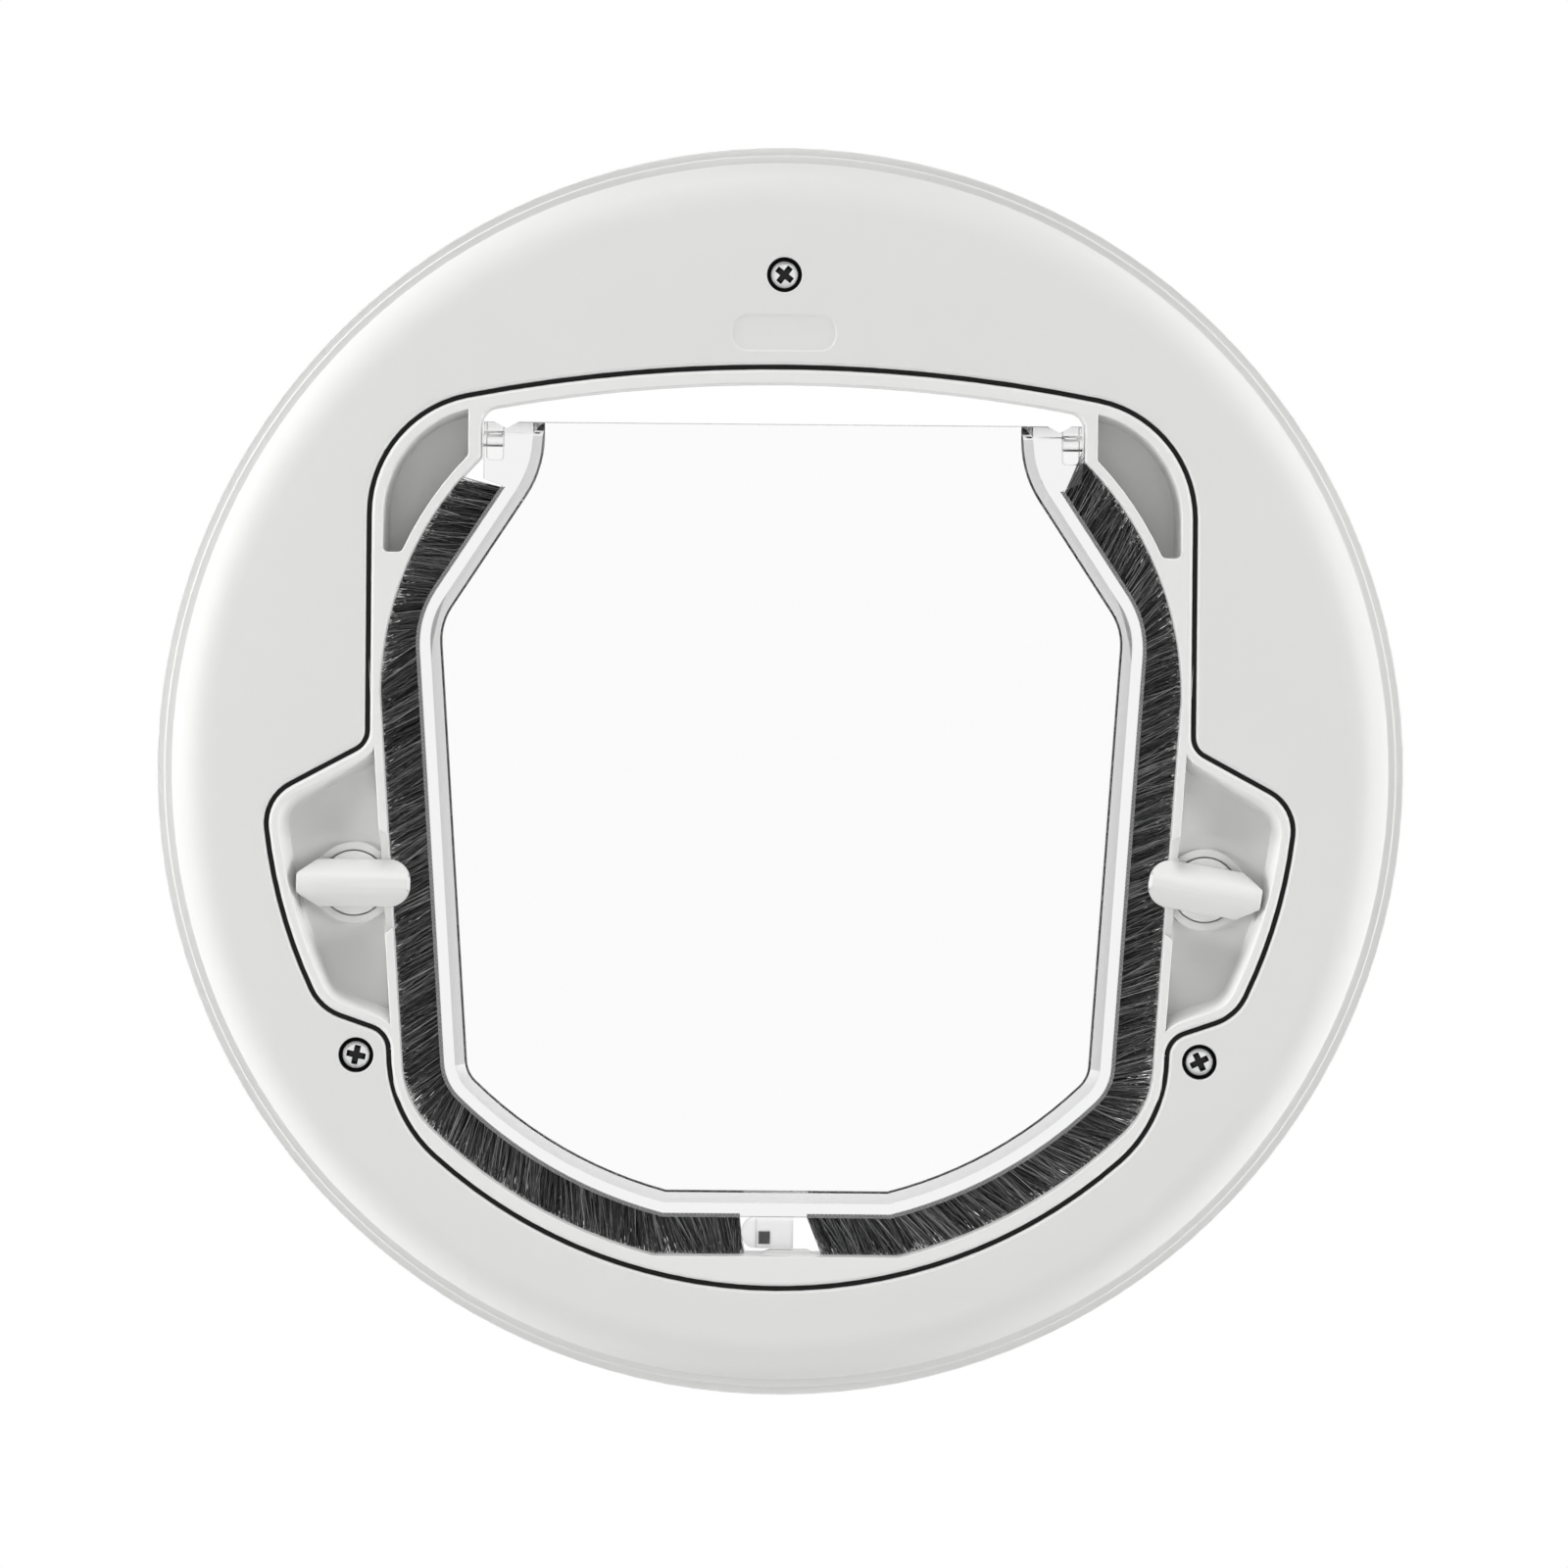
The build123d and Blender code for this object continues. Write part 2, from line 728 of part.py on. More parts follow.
def hinge_bush(side):
    """Plain bush pressed into the hinge block."""
    start = Pos(side * hinge_half_width, 0, hinge_height) * Rot(Y=side * 90)
    sleeve = cylinder_up(bush_radius, bush_length) - cylinder_up(pin_radius + running_fit, bush_length)
    return start * sleeve


def pile_backing(sign):
    """Woven strip that sits in the flap's groove."""
    strip = grown(flap, -backing_clearance) - grown(flap, -groove_sink + backing_clearance)
    strip &= groove_zone(sign, backing_clearance)
    half = groove_width / 2 - backing_clearance
    return slab(strip, -half, half)


def pile(sign):
    """Brush of fibres from the flap's edge to the tunnel's wall."""
    strip = grown(tunnel, -pile_wall_gap) - grown(flap, pile_root_gap)
    strip &= groove_zone(sign, backing_clearance)
    if sign > 0:
        root = pile_right_end + backing_clearance
        strip -= polygon([(root, flap_low_end), (root, sill_height), (root + pile_end_slant, sill_height)])
    return slab(strip, -pile_thickness / 2, pile_thickness / 2)


def wing_plan(inner):
    """Outline of a wing: round at the end towards the tunnel, tapered to a blunt tip at the other end."""
    half_length = wing_length / 2
    half = wing_width / 2
    tip_half = wing_tip_width / 2
    taper_end = wing_tip_length - half_length
    plan = polygon(
        [
            (inner * half_length, half),
            (inner * half_length, -half),
            (inner * taper_end, -half),
            (inner * -half_length, -tip_half),
            (inner * -half_length, tip_half),
            (inner * taper_end, half),
        ]
    )
    for x, z, radius in (
        (half_length, half, wing_end_fillet),
        (taper_end, half, wing_tip_fillet),
        (-half_length, tip_half, wing_tip_fillet),
    ):
        for level in (-1, 1):
            nearest = plan.vertices().sort_by_distance((inner * x, level * z, 0))[0]
            plan = fillet(nearest, radius)
    return plan


def latch_knob(side, tilt):
    """Turning wing with a sloped roof, its disc and its grooved spindle, in one moulding."""
    height = wing_bottom - front
    body = slab(wing_plan(-side), front, wing_bottom)
    half = wing_width / 2
    roof = polygon(
        [
            (-half, 0),
            (half, 0),
            (half, wing_side_height),
            (wing_crest / 2, height),
            (-wing_crest / 2, height),
            (-half, wing_side_height),
        ]
    )
    ridge_plane = Plane(origin=(-wing_length / 2, wing_bottom, 0), x_dir=(0, 0, 1), z_dir=(1, 0, 0))
    body &= extrude(ridge_plane * roof, amount=wing_length)
    crest_edges = body.edges().filter_by_position(Axis.Y, front, front)
    tip_end = wing_tip_length - wing_length / 2
    body = chamfer(crest_edges.filter_by(lambda edge: -side * edge.center().X > tip_end), wing_chamfer)
    body += slab(disc(latch_disc_radius), wing_bottom, ear_floor - axial_play)
    body += slab(disc(spindle_radius), wing_bottom, clip_rear + spindle_end)
    groove = disc(spindle_radius) - disc(spindle_radius - groove_depth)
    body -= slab(groove, clip_front - groove_clearance, clip_rear + groove_clearance)
    return Pos(side * latch_x, 0, latch_z) * Rot(Y=-tilt) * body


def latch_washer(side):
    """Washer between the pocket's floor and the clip."""
    plan = disc(washer_radius) - disc(spindle_radius + spindle_clearance)
    return Pos(side * latch_x, 0, latch_z) * slab(plan, washer_front, washer_front + washer_thickness)


def latch_clip(side):
    """Open spring clip in the spindle's groove."""
    plan = disc(clip_radius) - disc(spindle_radius - groove_depth + groove_clearance)
    plan -= block(-clip_mouth / 2, clip_mouth / 2, -clip_radius, 0)
    return Pos(side * latch_x, 0, latch_z) * slab(plan, clip_front, clip_rear)


def clamp_screws():
    """Three pan-head screws with a cross recess."""
    head_front = screw_seat - screw_head_height
    head = slab(disc(screw_head_radius), head_front, screw_seat)
    shank = slab(disc(screw_radius), screw_seat, screw_seat + screw_length)
    cross = block(-cross_length / 2, cross_length / 2, -cross_width / 2, cross_width / 2)
    cross += block(-cross_width / 2, cross_width / 2, -cross_length / 2, cross_length / 2)
    screw = head + shank - slab(cross, head_front, head_front + cross_depth)
    return Compound(children=[Pos(x, 0, z) * screw for x, z in screw_places])


def screw_washers():
    """Three soft sealing washers under the screw heads."""
    plan = disc(counterbore_radius - screw_washer_clearance) - disc(screw_radius + screw_hole_clearance)
    washer = slab(plan, screw_seat, screw_seat + screw_washer_thickness)
    return Compound(children=[Pos(x, 0, z) * washer for x, z in screw_places])


def gasket(front_y):
    """Foam ring between a clamping ring and the glass."""
    plan = disc(ring_radius - gasket_inset) - disc(land_radius)
    return slab(plan, front_y, front_y + gasket_thickness)


def seam_seal(middle_outline, front_y):
    """Black strip in a seam, a little narrower than the gap."""
    half = seam_gap / 2 - seal_clearance
    return slab(grown(middle_outline, half) - grown(middle_outline, -half), front_y, front_y + seal_depth)


seam = seam_outline()
insert = grown(seam, -seam_gap / 2)
tunnel = tunnel_outline()
flap = flap_outline(0, lug_outer, flap_shoulder_fillet, flap_corner_fillet, flap_top)
window = flap_outline(rim_width, lug_inner, flap_window_fillet, flap_window_fillet / 2, flap_top)

nodes = {
    "inside_ring": inside_ring(),
    "outside_ring": outside_ring(),
    "tunnel_frame": tunnel_frame(),
    "inside_gasket": gasket(-ring_back),
    "outside_gasket": gasket(glass_face),
    "inside_seam_seal": seam_seal(seam, front + seal_sink),
    "outside_seam_seal": seam_seal(
        grown(tunnel, rear_rim_width + seam_gap / 2),
        rear - seal_sink - seal_depth,
    ),
    "clamp_screws": clamp_screws(),
    "screw_washers": screw_washers(),
    "flap_panel": flap_panel(),
    "flap_magnet": flap_magnet(),
    "sill_magnet": sill_magnet(),
}
for name, sign, tilt in (("left", -1, 0.0), ("right", 1, right_latch_tilt)):
    nodes[f"{name}_pile"] = pile(sign)
    nodes[f"{name}_pile_backing"] = pile_backing(sign)
    nodes[f"{name}_hinge_pin"] = hinge_pin(sign)
    nodes[f"{name}_hinge_bush"] = hinge_bush(sign)
    nodes[f"{name}_latch_knob"] = latch_knob(sign, tilt)
    nodes[f"{name}_latch_washer"] = latch_washer(sign)
    nodes[f"{name}_latch_clip"] = latch_clip(sign)

for node_name, shape in nodes.items():
    export_step(shape, f"parts/{node_name}.step")
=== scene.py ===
"""Looks, light and camera of the cat flap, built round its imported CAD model.

Frame: X to the right and Z up as seen from the room, Y from the room to the garden, in metres.
Sizes in the classes below are in millimetres and angles in degrees, unless a docstring says otherwise.
"""
import json
import logging
import math
from dataclasses import dataclass, field
from enum import Enum
from typing import Any, Iterable

import bmesh
import bpy
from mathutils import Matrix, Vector
from mathutils.bvhtree import BVHTree


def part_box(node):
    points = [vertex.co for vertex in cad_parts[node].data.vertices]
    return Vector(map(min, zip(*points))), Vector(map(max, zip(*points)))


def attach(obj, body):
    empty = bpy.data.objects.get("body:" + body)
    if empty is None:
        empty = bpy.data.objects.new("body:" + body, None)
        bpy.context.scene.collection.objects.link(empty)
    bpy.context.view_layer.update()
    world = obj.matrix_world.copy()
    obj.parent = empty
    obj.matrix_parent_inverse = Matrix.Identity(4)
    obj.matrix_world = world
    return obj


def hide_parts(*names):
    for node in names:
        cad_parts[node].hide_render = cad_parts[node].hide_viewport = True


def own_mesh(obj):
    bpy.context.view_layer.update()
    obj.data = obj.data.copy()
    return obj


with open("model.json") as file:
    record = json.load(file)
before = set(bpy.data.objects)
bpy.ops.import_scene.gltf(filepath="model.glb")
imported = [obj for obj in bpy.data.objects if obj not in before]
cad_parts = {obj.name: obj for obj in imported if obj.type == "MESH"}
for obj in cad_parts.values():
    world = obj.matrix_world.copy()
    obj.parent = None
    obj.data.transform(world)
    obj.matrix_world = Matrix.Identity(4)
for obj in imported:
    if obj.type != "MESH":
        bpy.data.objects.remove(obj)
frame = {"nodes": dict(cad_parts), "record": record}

Tree = bpy.types.NodeTree
Node = bpy.types.Node
Socket = bpy.types.NodeSocket
Piece = bpy.types.Object

MM = 0.001
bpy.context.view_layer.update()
# Painted shade in the screws' recesses starts this far behind the front of the screw heads
RECESS_SHADE_DEPTH = 0.5
SCREW_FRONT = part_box("clamp_screws")[0].y / MM
SIDES = ("left", "right")
WHITE = "ffffff"
# The sRGB curve: a straight toe up to the first value, then a power
SRGB_TOE = 0.04045
SRGB_TOE_SLOPE = 12.92
SRGB_OFFSET = 0.055
SRGB_POWER = 2.4
# Points closer than the gap are one point, and faces within the flat angle are one face
MERGE_GAP = 0.002
FLAT_ANGLE = 0.2
# Edges past the crease are shaded sharp, on the inside ring already at the badge's slopes
BADGE_CREASE = 18.0
# Edges past this angle are shaded sharp on the other pieces, and softened on all
STEEP_ANGLE = 28.0
BEVEL_SEGMENTS = 2
# Middle of a noise's values, which swing as far to either side
NOISE_MIDDLE = 0.5
log = logging.getLogger("cat_flap")


class Edge(Enum):
    """Widths of softened edges, in millimetres."""

    KEEN = 0.0
    CRISP = 0.12
    MOULDED = 0.3


class Draw(Enum):
    """Seeds of the random draws that both pile strips share."""

    LENGTH = 5
    SHADE = 11
    CURL = 17


class Pattern(Enum):
    """Patterns of dull surfaces: the texture node that draws each one, and the output that is read."""

    PORES = ("ShaderNodeTexVoronoi", "Distance")
    WEAVE = ("ShaderNodeTexChecker", "Fac")


def linear(colour: str) -> tuple[float, float, float, float]:
    """Turn an sRGB hex colour to linear light.

    Args:
        colour: six hex digits, such as "f0f0ee".

    Returns:
        Red, green, blue and an alpha of one.
    """
    channels = [int(colour[place : place + 2], 16) / 255 for place in (0, 2, 4)]
    red, green, blue = [
        c / SRGB_TOE_SLOPE if c <= SRGB_TOE else ((c + SRGB_OFFSET) / (1 + SRGB_OFFSET)) ** SRGB_POWER
        for c in channels
    ]
    return red, green, blue, 1.0


def pick(sockets: Any, key: str | int) -> Socket:
    """Find a socket by its place, or by its name among those in use.

    Args:
        sockets: a node's inputs or outputs.
        key: the socket's place or name.

    Returns:
        The socket.
    """
    if isinstance(key, int):
        return sockets[key]
    return next(socket for socket in sockets if socket.name == key and socket.enabled)


def add_node(tree: Tree, kind: str, inputs: dict[str | int, Any], **settings: Any) -> Node:
    """Add a node to a tree with its settings, values and links.

    Args:
        tree: the material's, world's or geometry's tree.
        kind: Blender's name for the node.
        inputs: for each input by name or place a value, a socket to link from, or a node, which
            stands for its first output in use.
        **settings: the node's own properties.

    Returns:
        The node.
    """
    node = tree.nodes.new(kind)
    for name, value in settings.items():
        setattr(node, name, value)
    for key, value in inputs.items():
        socket = pick(node.inputs, key)
        if isinstance(value, Node):
            value = next(output for output in value.outputs if output.enabled)
        if isinstance(value, Socket):
            tree.links.new(value, socket)
        else:
            socket.default_value = value
    return node


def per_metre(millimetres: float) -> float:
    """Scale of a noise whose grains are about this wide."""
    return 1.0 / (millimetres * MM)


def noise(tree: Tree, place: Any, scale: Any, detail: float) -> Node:
    """Add a noise over a place, with its scale per metre and its layers of detail."""
    return add_node(tree, "ShaderNodeTexNoise", {"Vector": place, "Scale": scale, "Detail": detail})


def calc(tree: Tree, operation: str, *terms: Any) -> Node:
    """Add a calculation with numbers, its terms in Blender's order."""
    return add_node(tree, "ShaderNodeMath", dict(enumerate(terms)), operation=operation)


def blend(tree: Tree, share: Any, first: Any, second: Any) -> Node:
    """Add a mix of two colours, with the second one's share."""
    return add_node(tree, "ShaderNodeMix", {"Factor": share, "A": first, "B": second}, data_type="RGBA")


def relief(tree: Tree, height: Any, strength: float, depth: float) -> Node:
    """Add bumps from a height between zero and one, with their depth in millimetres."""
    inputs = {"Height": height, "Strength": strength, "Distance": depth * MM}
    return add_node(tree, "ShaderNodeBump", inputs)


def fade(tree: Tree, value: Any, ends: tuple[Any, Any], results: tuple[float, float] = (0.0, 1.0)) -> Node:
    """Add a change from one result to another while a value runs between two ends.

    Args:
        tree: the material's, world's or geometry's tree.
        value: the value that runs.
        ends: where the change begins and where it is complete.
        results: what comes out at each end and beyond it.

    Returns:
        The node.
    """
    low, high = ends
    first, last = results
    limits = {"From Min": low, "From Max": high, "To Min": first, "To Max": last}
    return add_node(tree, "ShaderNodeMapRange", {"Value": value, **limits})


def random_value(tree: Tree, kind: str, low: Any, high: Any, seed: Any) -> Node:
    """Add a random draw between two values, one for each point or instance."""
    inputs = {"Min": low, "Max": high, "Seed": seed}
    return add_node(tree, "FunctionNodeRandomValue", inputs, data_type=kind)


def stored(tree: Tree, kind: str, domain: str, inputs: dict[str, Any]) -> Node:
    """Keep a value with a geometry under a name."""
    return add_node(tree, "GeometryNodeStoreNamedAttribute", inputs, data_type=kind, domain=domain)


def recalled(tree: Tree, kind: str, name: str) -> Node:
    """Read a value that is kept with a geometry under a name."""
    return add_node(tree, "GeometryNodeInputNamedAttribute", {"Name": name}, data_type=kind)


@dataclass(frozen=True)
class Finish:
    """A surface of the object: its material's name and the record's slot that it belongs to."""

    name: str
    slot: str

    def material(self) -> bpy.types.Material:
        """Build the material, or give the one that was built before.

        Returns:
            The finish's material.
        """
        known = bpy.data.materials.get(self.name)
        if known:
            return known
        material = bpy.data.materials.new(self.name)
        material.use_nodes = True
        tree = material.node_tree
        tree.nodes.clear()
        place = add_node(tree, "ShaderNodeTexCoord", {}).outputs["Object"]
        links = {"Surface": self.shade(tree, place)}
        inside = self.fill(tree)
        if inside:
            links["Volume"] = inside
        add_node(tree, "ShaderNodeOutputMaterial", links)
        return material

    def shade(self, tree: Tree, place: Socket) -> Node:
        """Build the shader.

        Args:
            tree: the material's node tree.
            place: object coordinates in metres.

        Returns:
            The shader's node.
        """
        raise NotImplementedError

    def fill(self, tree: Tree) -> Node | None:
        """Build what light meets inside the material.

        Args:
            tree: the material's node tree.

        Returns:
            The volume's node, or nothing where light stays at the surface.
        """
        return None


@dataclass(frozen=True)
class MouldedPlastic(Finish):
    """Injection-moulded plastic: an even colour, broad faint cloudiness and a fine satin grain."""

    colour: str
    cloud_colour: str
    roughness: float
    grain: float = 0.35
    grain_depth: float = 0.004
    grain_strength: float = 0.35
    grain_spread: float = 0.05
    cloud: float = 45.0
    ior: float = 1.53

    def shade(self, tree: Tree, place: Socket) -> Node:
        """Build the satin plastic shader.

        Args:
            tree: the material's node tree.
            place: object coordinates in metres.

        Returns:
            The shader's node.
        """
        cloud = noise(tree, place, per_metre(self.cloud), 3.0)
        colour = blend(tree, cloud, linear(self.colour), linear(self.cloud_colour))
        # The real spark-eroded grain is finer; it is drawn this coarse so that it still shows close up
        grain = noise(tree, place, per_metre(self.grain), 2.0)
        spread = (self.roughness - self.grain_spread, self.roughness + self.grain_spread)
        rough = fade(tree, grain, (0.0, 1.0), spread)
        bump = relief(tree, grain, self.grain_strength, self.grain_depth)
        return add_node(
            tree,
            "ShaderNodeBsdfPrincipled",
            {"Base Color": colour, "Roughness": rough, "Normal": bump, "IOR": self.ior},
        )


@dataclass(frozen=True)
class ClearPlastic(Finish):
    """Clear moulded polycarbonate: sees through, with faint flow waves, and cloudy where it was filled."""

    colour: str
    roughness: float
    inside_colour: str
    clear_depth: float
    gate_height: float
    gate_fade: float = 1.5
    gate_roughness: float = 0.45
    wave: float = 28.0
    wave_depth: float = 0.02
    wave_strength: float = 0.2
    ior: float = 1.58

    def shade(self, tree: Tree, place: Socket) -> Node:
        """Build the clear plastic shader.

        Args:
            tree: the material's node tree.
            place: object coordinates in metres.

        Returns:
            The shader's node.
        """
        wave = noise(tree, place, per_metre(self.wave), 1.0)
        bump = relief(tree, wave, self.wave_strength, self.wave_depth)
        polished = fade(tree, wave, (0.0, 1.0), (0.0, self.roughness))
        height = add_node(tree, "ShaderNodeSeparateXYZ", {0: place}).outputs["Z"]
        gate = (self.gate_height * MM, (self.gate_height - self.gate_fade) * MM)
        clouded = fade(tree, height, gate, (0.0, self.gate_roughness))
        rough = calc(tree, "MAXIMUM", polished, clouded)
        return add_node(
            tree,
            "ShaderNodeBsdfPrincipled",
            {
                "Base Color": linear(self.colour),
                "Roughness": rough,
                "Normal": bump,
                "IOR": self.ior,
                "Transmission Weight": 1.0,
            },
        )

    def fill(self, tree: Tree) -> Node | None:
        """Let long paths through the plastic turn grey, as its moulded edges do.

        Args:
            tree: the material's node tree.

        Returns:
            The volume's node.
        """
        return add_node(
            tree,
            "ShaderNodeVolumeAbsorption",
            {"Color": linear(self.inside_colour), "Density": per_metre(self.clear_depth)},
        )


@dataclass(frozen=True)
class PileFibre(Finish):
    """Polypropylene pile: each bristle has its own shade of charcoal, with little shine."""

    dark: str
    pale: str
    roughness: float
    streak: float = 2.5
    streak_low: float = 0.6
    streak_high: float = 1.4
    ior: float = 1.49
    shine: float = 0.2

    def shade(self, tree: Tree, place: Socket) -> Node:
        """Build the bristle shader from the tint that each bristle carries.

        Args:
            tree: the material's node tree.
            place: object coordinates in metres.

        Returns:
            The shader's node.
        """
        tint = add_node(tree, "ShaderNodeAttribute", {}, attribute_name="tint").outputs["Fac"]
        streak = noise(tree, place, per_metre(self.streak), 2.0)
        tone_and_shade = fade(tree, streak, (0.0, 1.0), (self.streak_low, self.streak_high))
        share = calc(tree, "MULTIPLY", tint, tone_and_shade)
        colour = blend(tree, share, linear(self.dark), linear(self.pale))
        return add_node(
            tree,
            "ShaderNodeBsdfPrincipled",
            {
                "Base Color": colour,
                "Roughness": self.roughness,
                "IOR": self.ior,
                "Specular IOR Level": self.shine,
            },
        )


@dataclass(frozen=True)
class DullSurface(Finish):
    """Rubber, foam, ferrite or woven tape: dull, with fine pores or threads in its colour and relief."""

    pattern: Pattern
    colour: str
    gap_colour: str
    roughness: float
    grain: float
    grain_depth: float
    grain_strength: float = 0.5
    sheen: float = 0.0
    ior: float = 1.5

    def shade(self, tree: Tree, place: Socket) -> Node:
        """Build the patterned shader.

        Args:
            tree: the material's node tree.
            place: object coordinates in metres.

        Returns:
            The shader's node.
        """
        kind, output = self.pattern.value
        pattern = add_node(tree, kind, {"Vector": place, "Scale": per_metre(self.grain)}).outputs[output]
        colour = blend(tree, pattern, linear(self.gap_colour), linear(self.colour))
        bump = relief(tree, pattern, self.grain_strength, self.grain_depth)
        return add_node(
            tree,
            "ShaderNodeBsdfPrincipled",
            {
                "Base Color": colour,
                "Roughness": self.roughness,
                "Normal": bump,
                "IOR": self.ior,
                "Sheen Weight": self.sheen,
            },
        )


@dataclass(frozen=True)
class PlatedSteel(Finish):
    """Zinc-plated steel: a bright grey metal with small cloudy crystals, darkened with painted shade in
    deep recesses.
    """

    colour: str
    dull_colour: str
    roughness: float
    recess_shade_colour: str
    recess_shade_start: float
    recess_shade_fade: float = 0.7
    crystal: float = 0.9
    crystal_spread: float = 0.1

    def shade(self, tree: Tree, place: Socket) -> Node:
        """Build the plated metal shader.

        Args:
            tree: the material's node tree.
            place: object coordinates in metres.

        Returns:
            The shader's node.
        """
        crystal = noise(tree, place, per_metre(self.crystal), 4.0)
        colour = blend(tree, crystal, linear(self.colour), linear(self.dull_colour))
        # Painted shade: past a depth behind the screw heads' front the colour turns to the dark shade
        # colour, for the shade in the recesses
        depth = add_node(tree, "ShaderNodeSeparateXYZ", {0: place}).outputs["Y"]
        recess_shade = fade(tree, depth, (self.recess_shade_start * MM, (self.recess_shade_start + self.recess_shade_fade) * MM))
        tone_and_shade = blend(tree, recess_shade, colour, linear(self.recess_shade_colour))
        spread = (self.roughness - self.crystal_spread, self.roughness + self.crystal_spread)
        rough = fade(tree, crystal, (0.0, 1.0), spread)
        return add_node(
            tree, "ShaderNodeBsdfPrincipled", {"Base Color": tone_and_shade, "Roughness": rough, "Metallic": 1.0}
        )


@dataclass(frozen=True)
class StudioPaper(MouldedPlastic):
    """Matte paper of the floor: lit as paper near the object, and plain white to the eye further out."""

    fade_start: float = 600.0
    fade_end: float = 1500.0

    def shade(self, tree: Tree, place: Socket) -> Node:
        """Build the paper shader, which turns to white with the distance from the middle.

        Args:
            tree: the material's node tree.
            place: object coordinates in metres.

        Returns:
            The shader's node.
        """
        paper = super().shade(tree, place)
        away = add_node(tree, "ShaderNodeVectorMath", {0: place}, operation="LENGTH")
        distant = fade(tree, away.outputs["Value"], (self.fade_start * MM, self.fade_end * MM))
        distant.interpolation_type = "SMOOTHSTEP"
        path = add_node(tree, "ShaderNodeLightPath", {}).outputs
        seen = path["Is Camera Ray"]
        for ray in ("Is Glossy Ray", "Is Transmission Ray"):
            seen = calc(tree, "MAXIMUM", seen, path[ray])
        share = calc(tree, "MULTIPLY", seen, distant)
        white = add_node(tree, "ShaderNodeEmission", {"Color": linear(WHITE), "Strength": 1.0})
        return add_node(tree, "ShaderNodeMixShader", {0: share, 1: paper, 2: white})


# White ABS, moulded in a spark-eroded tool: an even warm-neutral white with a soft satin shine
RING_WHITE = MouldedPlastic("white_abs_moulded", "white_plastic", "dcdcdb", "d9d9d8", 0.38)
# The same ABS from a polished tool, a little whiter, on the tunnel frame and the latches
FRAME_WHITE = MouldedPlastic("white_abs_polished", "white_plastic", "e3e3e2", "e0e0df", 0.34)
# Clear polycarbonate from a polished tool: almost colourless, edges gather grey and white
FLAP_CLEAR = ClearPlastic(
    "clear_polycarbonate_polished", "clear_plastic", WHITE, 0.02, "828282", 62.0, -105.0
)
# Rubber strip in the seam, pure black with no shine as painted shade for the deep shadow gap, so the seam
# reads as one thin black line; the screw washers share it
SEAM_SHADE_BLACK = DullSurface(
    "black_rubber_extruded", "black_rubber", Pattern.PORES, "040404", "020202", 0.9, 0.3, 0.01
)
# Closed-cell foam: charcoal with open pores on its cut faces
GASKET_FOAM = DullSurface(
    "charcoal_cell_foam", "grey_foam", Pattern.PORES, "3a3a3b", "1c1c1d", 0.9, 0.8, 0.15
)
# Pile yarn: charcoal bristles with paler streaks where they catch the light
PILE_GREY = PileFibre("charcoal_polypropylene_pile", "dark_pile", "363637", "a4a4a4", 0.6)
# Tape that the pile is woven on: undyed grey yarn, a fine grey line along the rim's clear edge
PILE_TAPE = DullSurface(
    "grey_woven_tape", "woven_backing", Pattern.WEAVE, "b4b4b4", "8c8c8c", 0.8, 0.5, 0.1, 0.4, 0.2
)
# Bright zinc on the screws, washers and clips, darkened with painted shade from the screws' recesses
# inwards
ZINC = PlatedSteel(
    "zinc_plated_steel", "steel", "f4f4f4", "d8d9da", 0.25, "2b2b2c", SCREW_FRONT + RECESS_SHADE_DEPTH
)
# Natural acetal, moulded: a milky white that slides well
ACETAL = MouldedPlastic("natural_acetal_moulded", "bush_plastic", "e0e0da", "d6d6d0", 0.4)
# Sintered ferrite: dull dark grey with a granular face
FERRITE = DullSurface(
    "dark_ferrite_sintered", "ferrite", Pattern.PORES, "353434", "262626", 0.65, 0.4, 0.02
)
# Paper under the object, matte and nearly white
FLOOR_PAPER = StudioPaper("white_paper_matte", "white_plastic", "e9e9e9", "e6e6e6", 0.8)


def body_of(node: str) -> str:
    """Name of the CAD body that a node belongs to."""
    bodies = frame["record"]["behaviour"]["bodies"]
    return next(body for body, members in bodies.items() if node in members)


def merged(node: str) -> bmesh.types.BMesh:
    """Copy a CAD node's loose triangles and merge them to a closed mesh.

    Args:
        node: the CAD node's name.

    Returns:
        The merged copy, to be freed by the caller.
    """
    shape = bmesh.new()
    shape.from_mesh(frame["nodes"][node].data)
    bmesh.ops.remove_doubles(shape, verts=shape.verts, dist=MERGE_GAP * MM)
    return shape


def tree_of(node: str) -> BVHTree:
    """Build a search tree of a CAD node's faces.

    Args:
        node: the CAD node's name.

    Returns:
        The tree.
    """
    shape = merged(node)
    tree = BVHTree.FromBMesh(shape)
    shape.free()
    return tree


def new_piece(name: str, shape: bmesh.types.BMesh) -> Piece:
    """Turn a mesh into an object of the scene and free the mesh.

    Args:
        name: the object's name.
        shape: its faces, in place.

    Returns:
        The object, at the origin.
    """
    mesh = bpy.data.meshes.new(name)
    shape.to_mesh(mesh)
    shape.free()
    piece = bpy.data.objects.new(name, mesh)
    bpy.context.scene.collection.objects.link(piece)
    return piece


def settle(piece: Piece) -> None:
    """Replace a piece's mesh by what its modifiers make of it, and remove them.

    Args:
        piece: the object with its modifiers.
    """
    evaluated = piece.evaluated_get(bpy.context.evaluated_depsgraph_get())
    mesh = bpy.data.meshes.new_from_object(evaluated)
    piece.modifiers.clear()
    piece.data = mesh


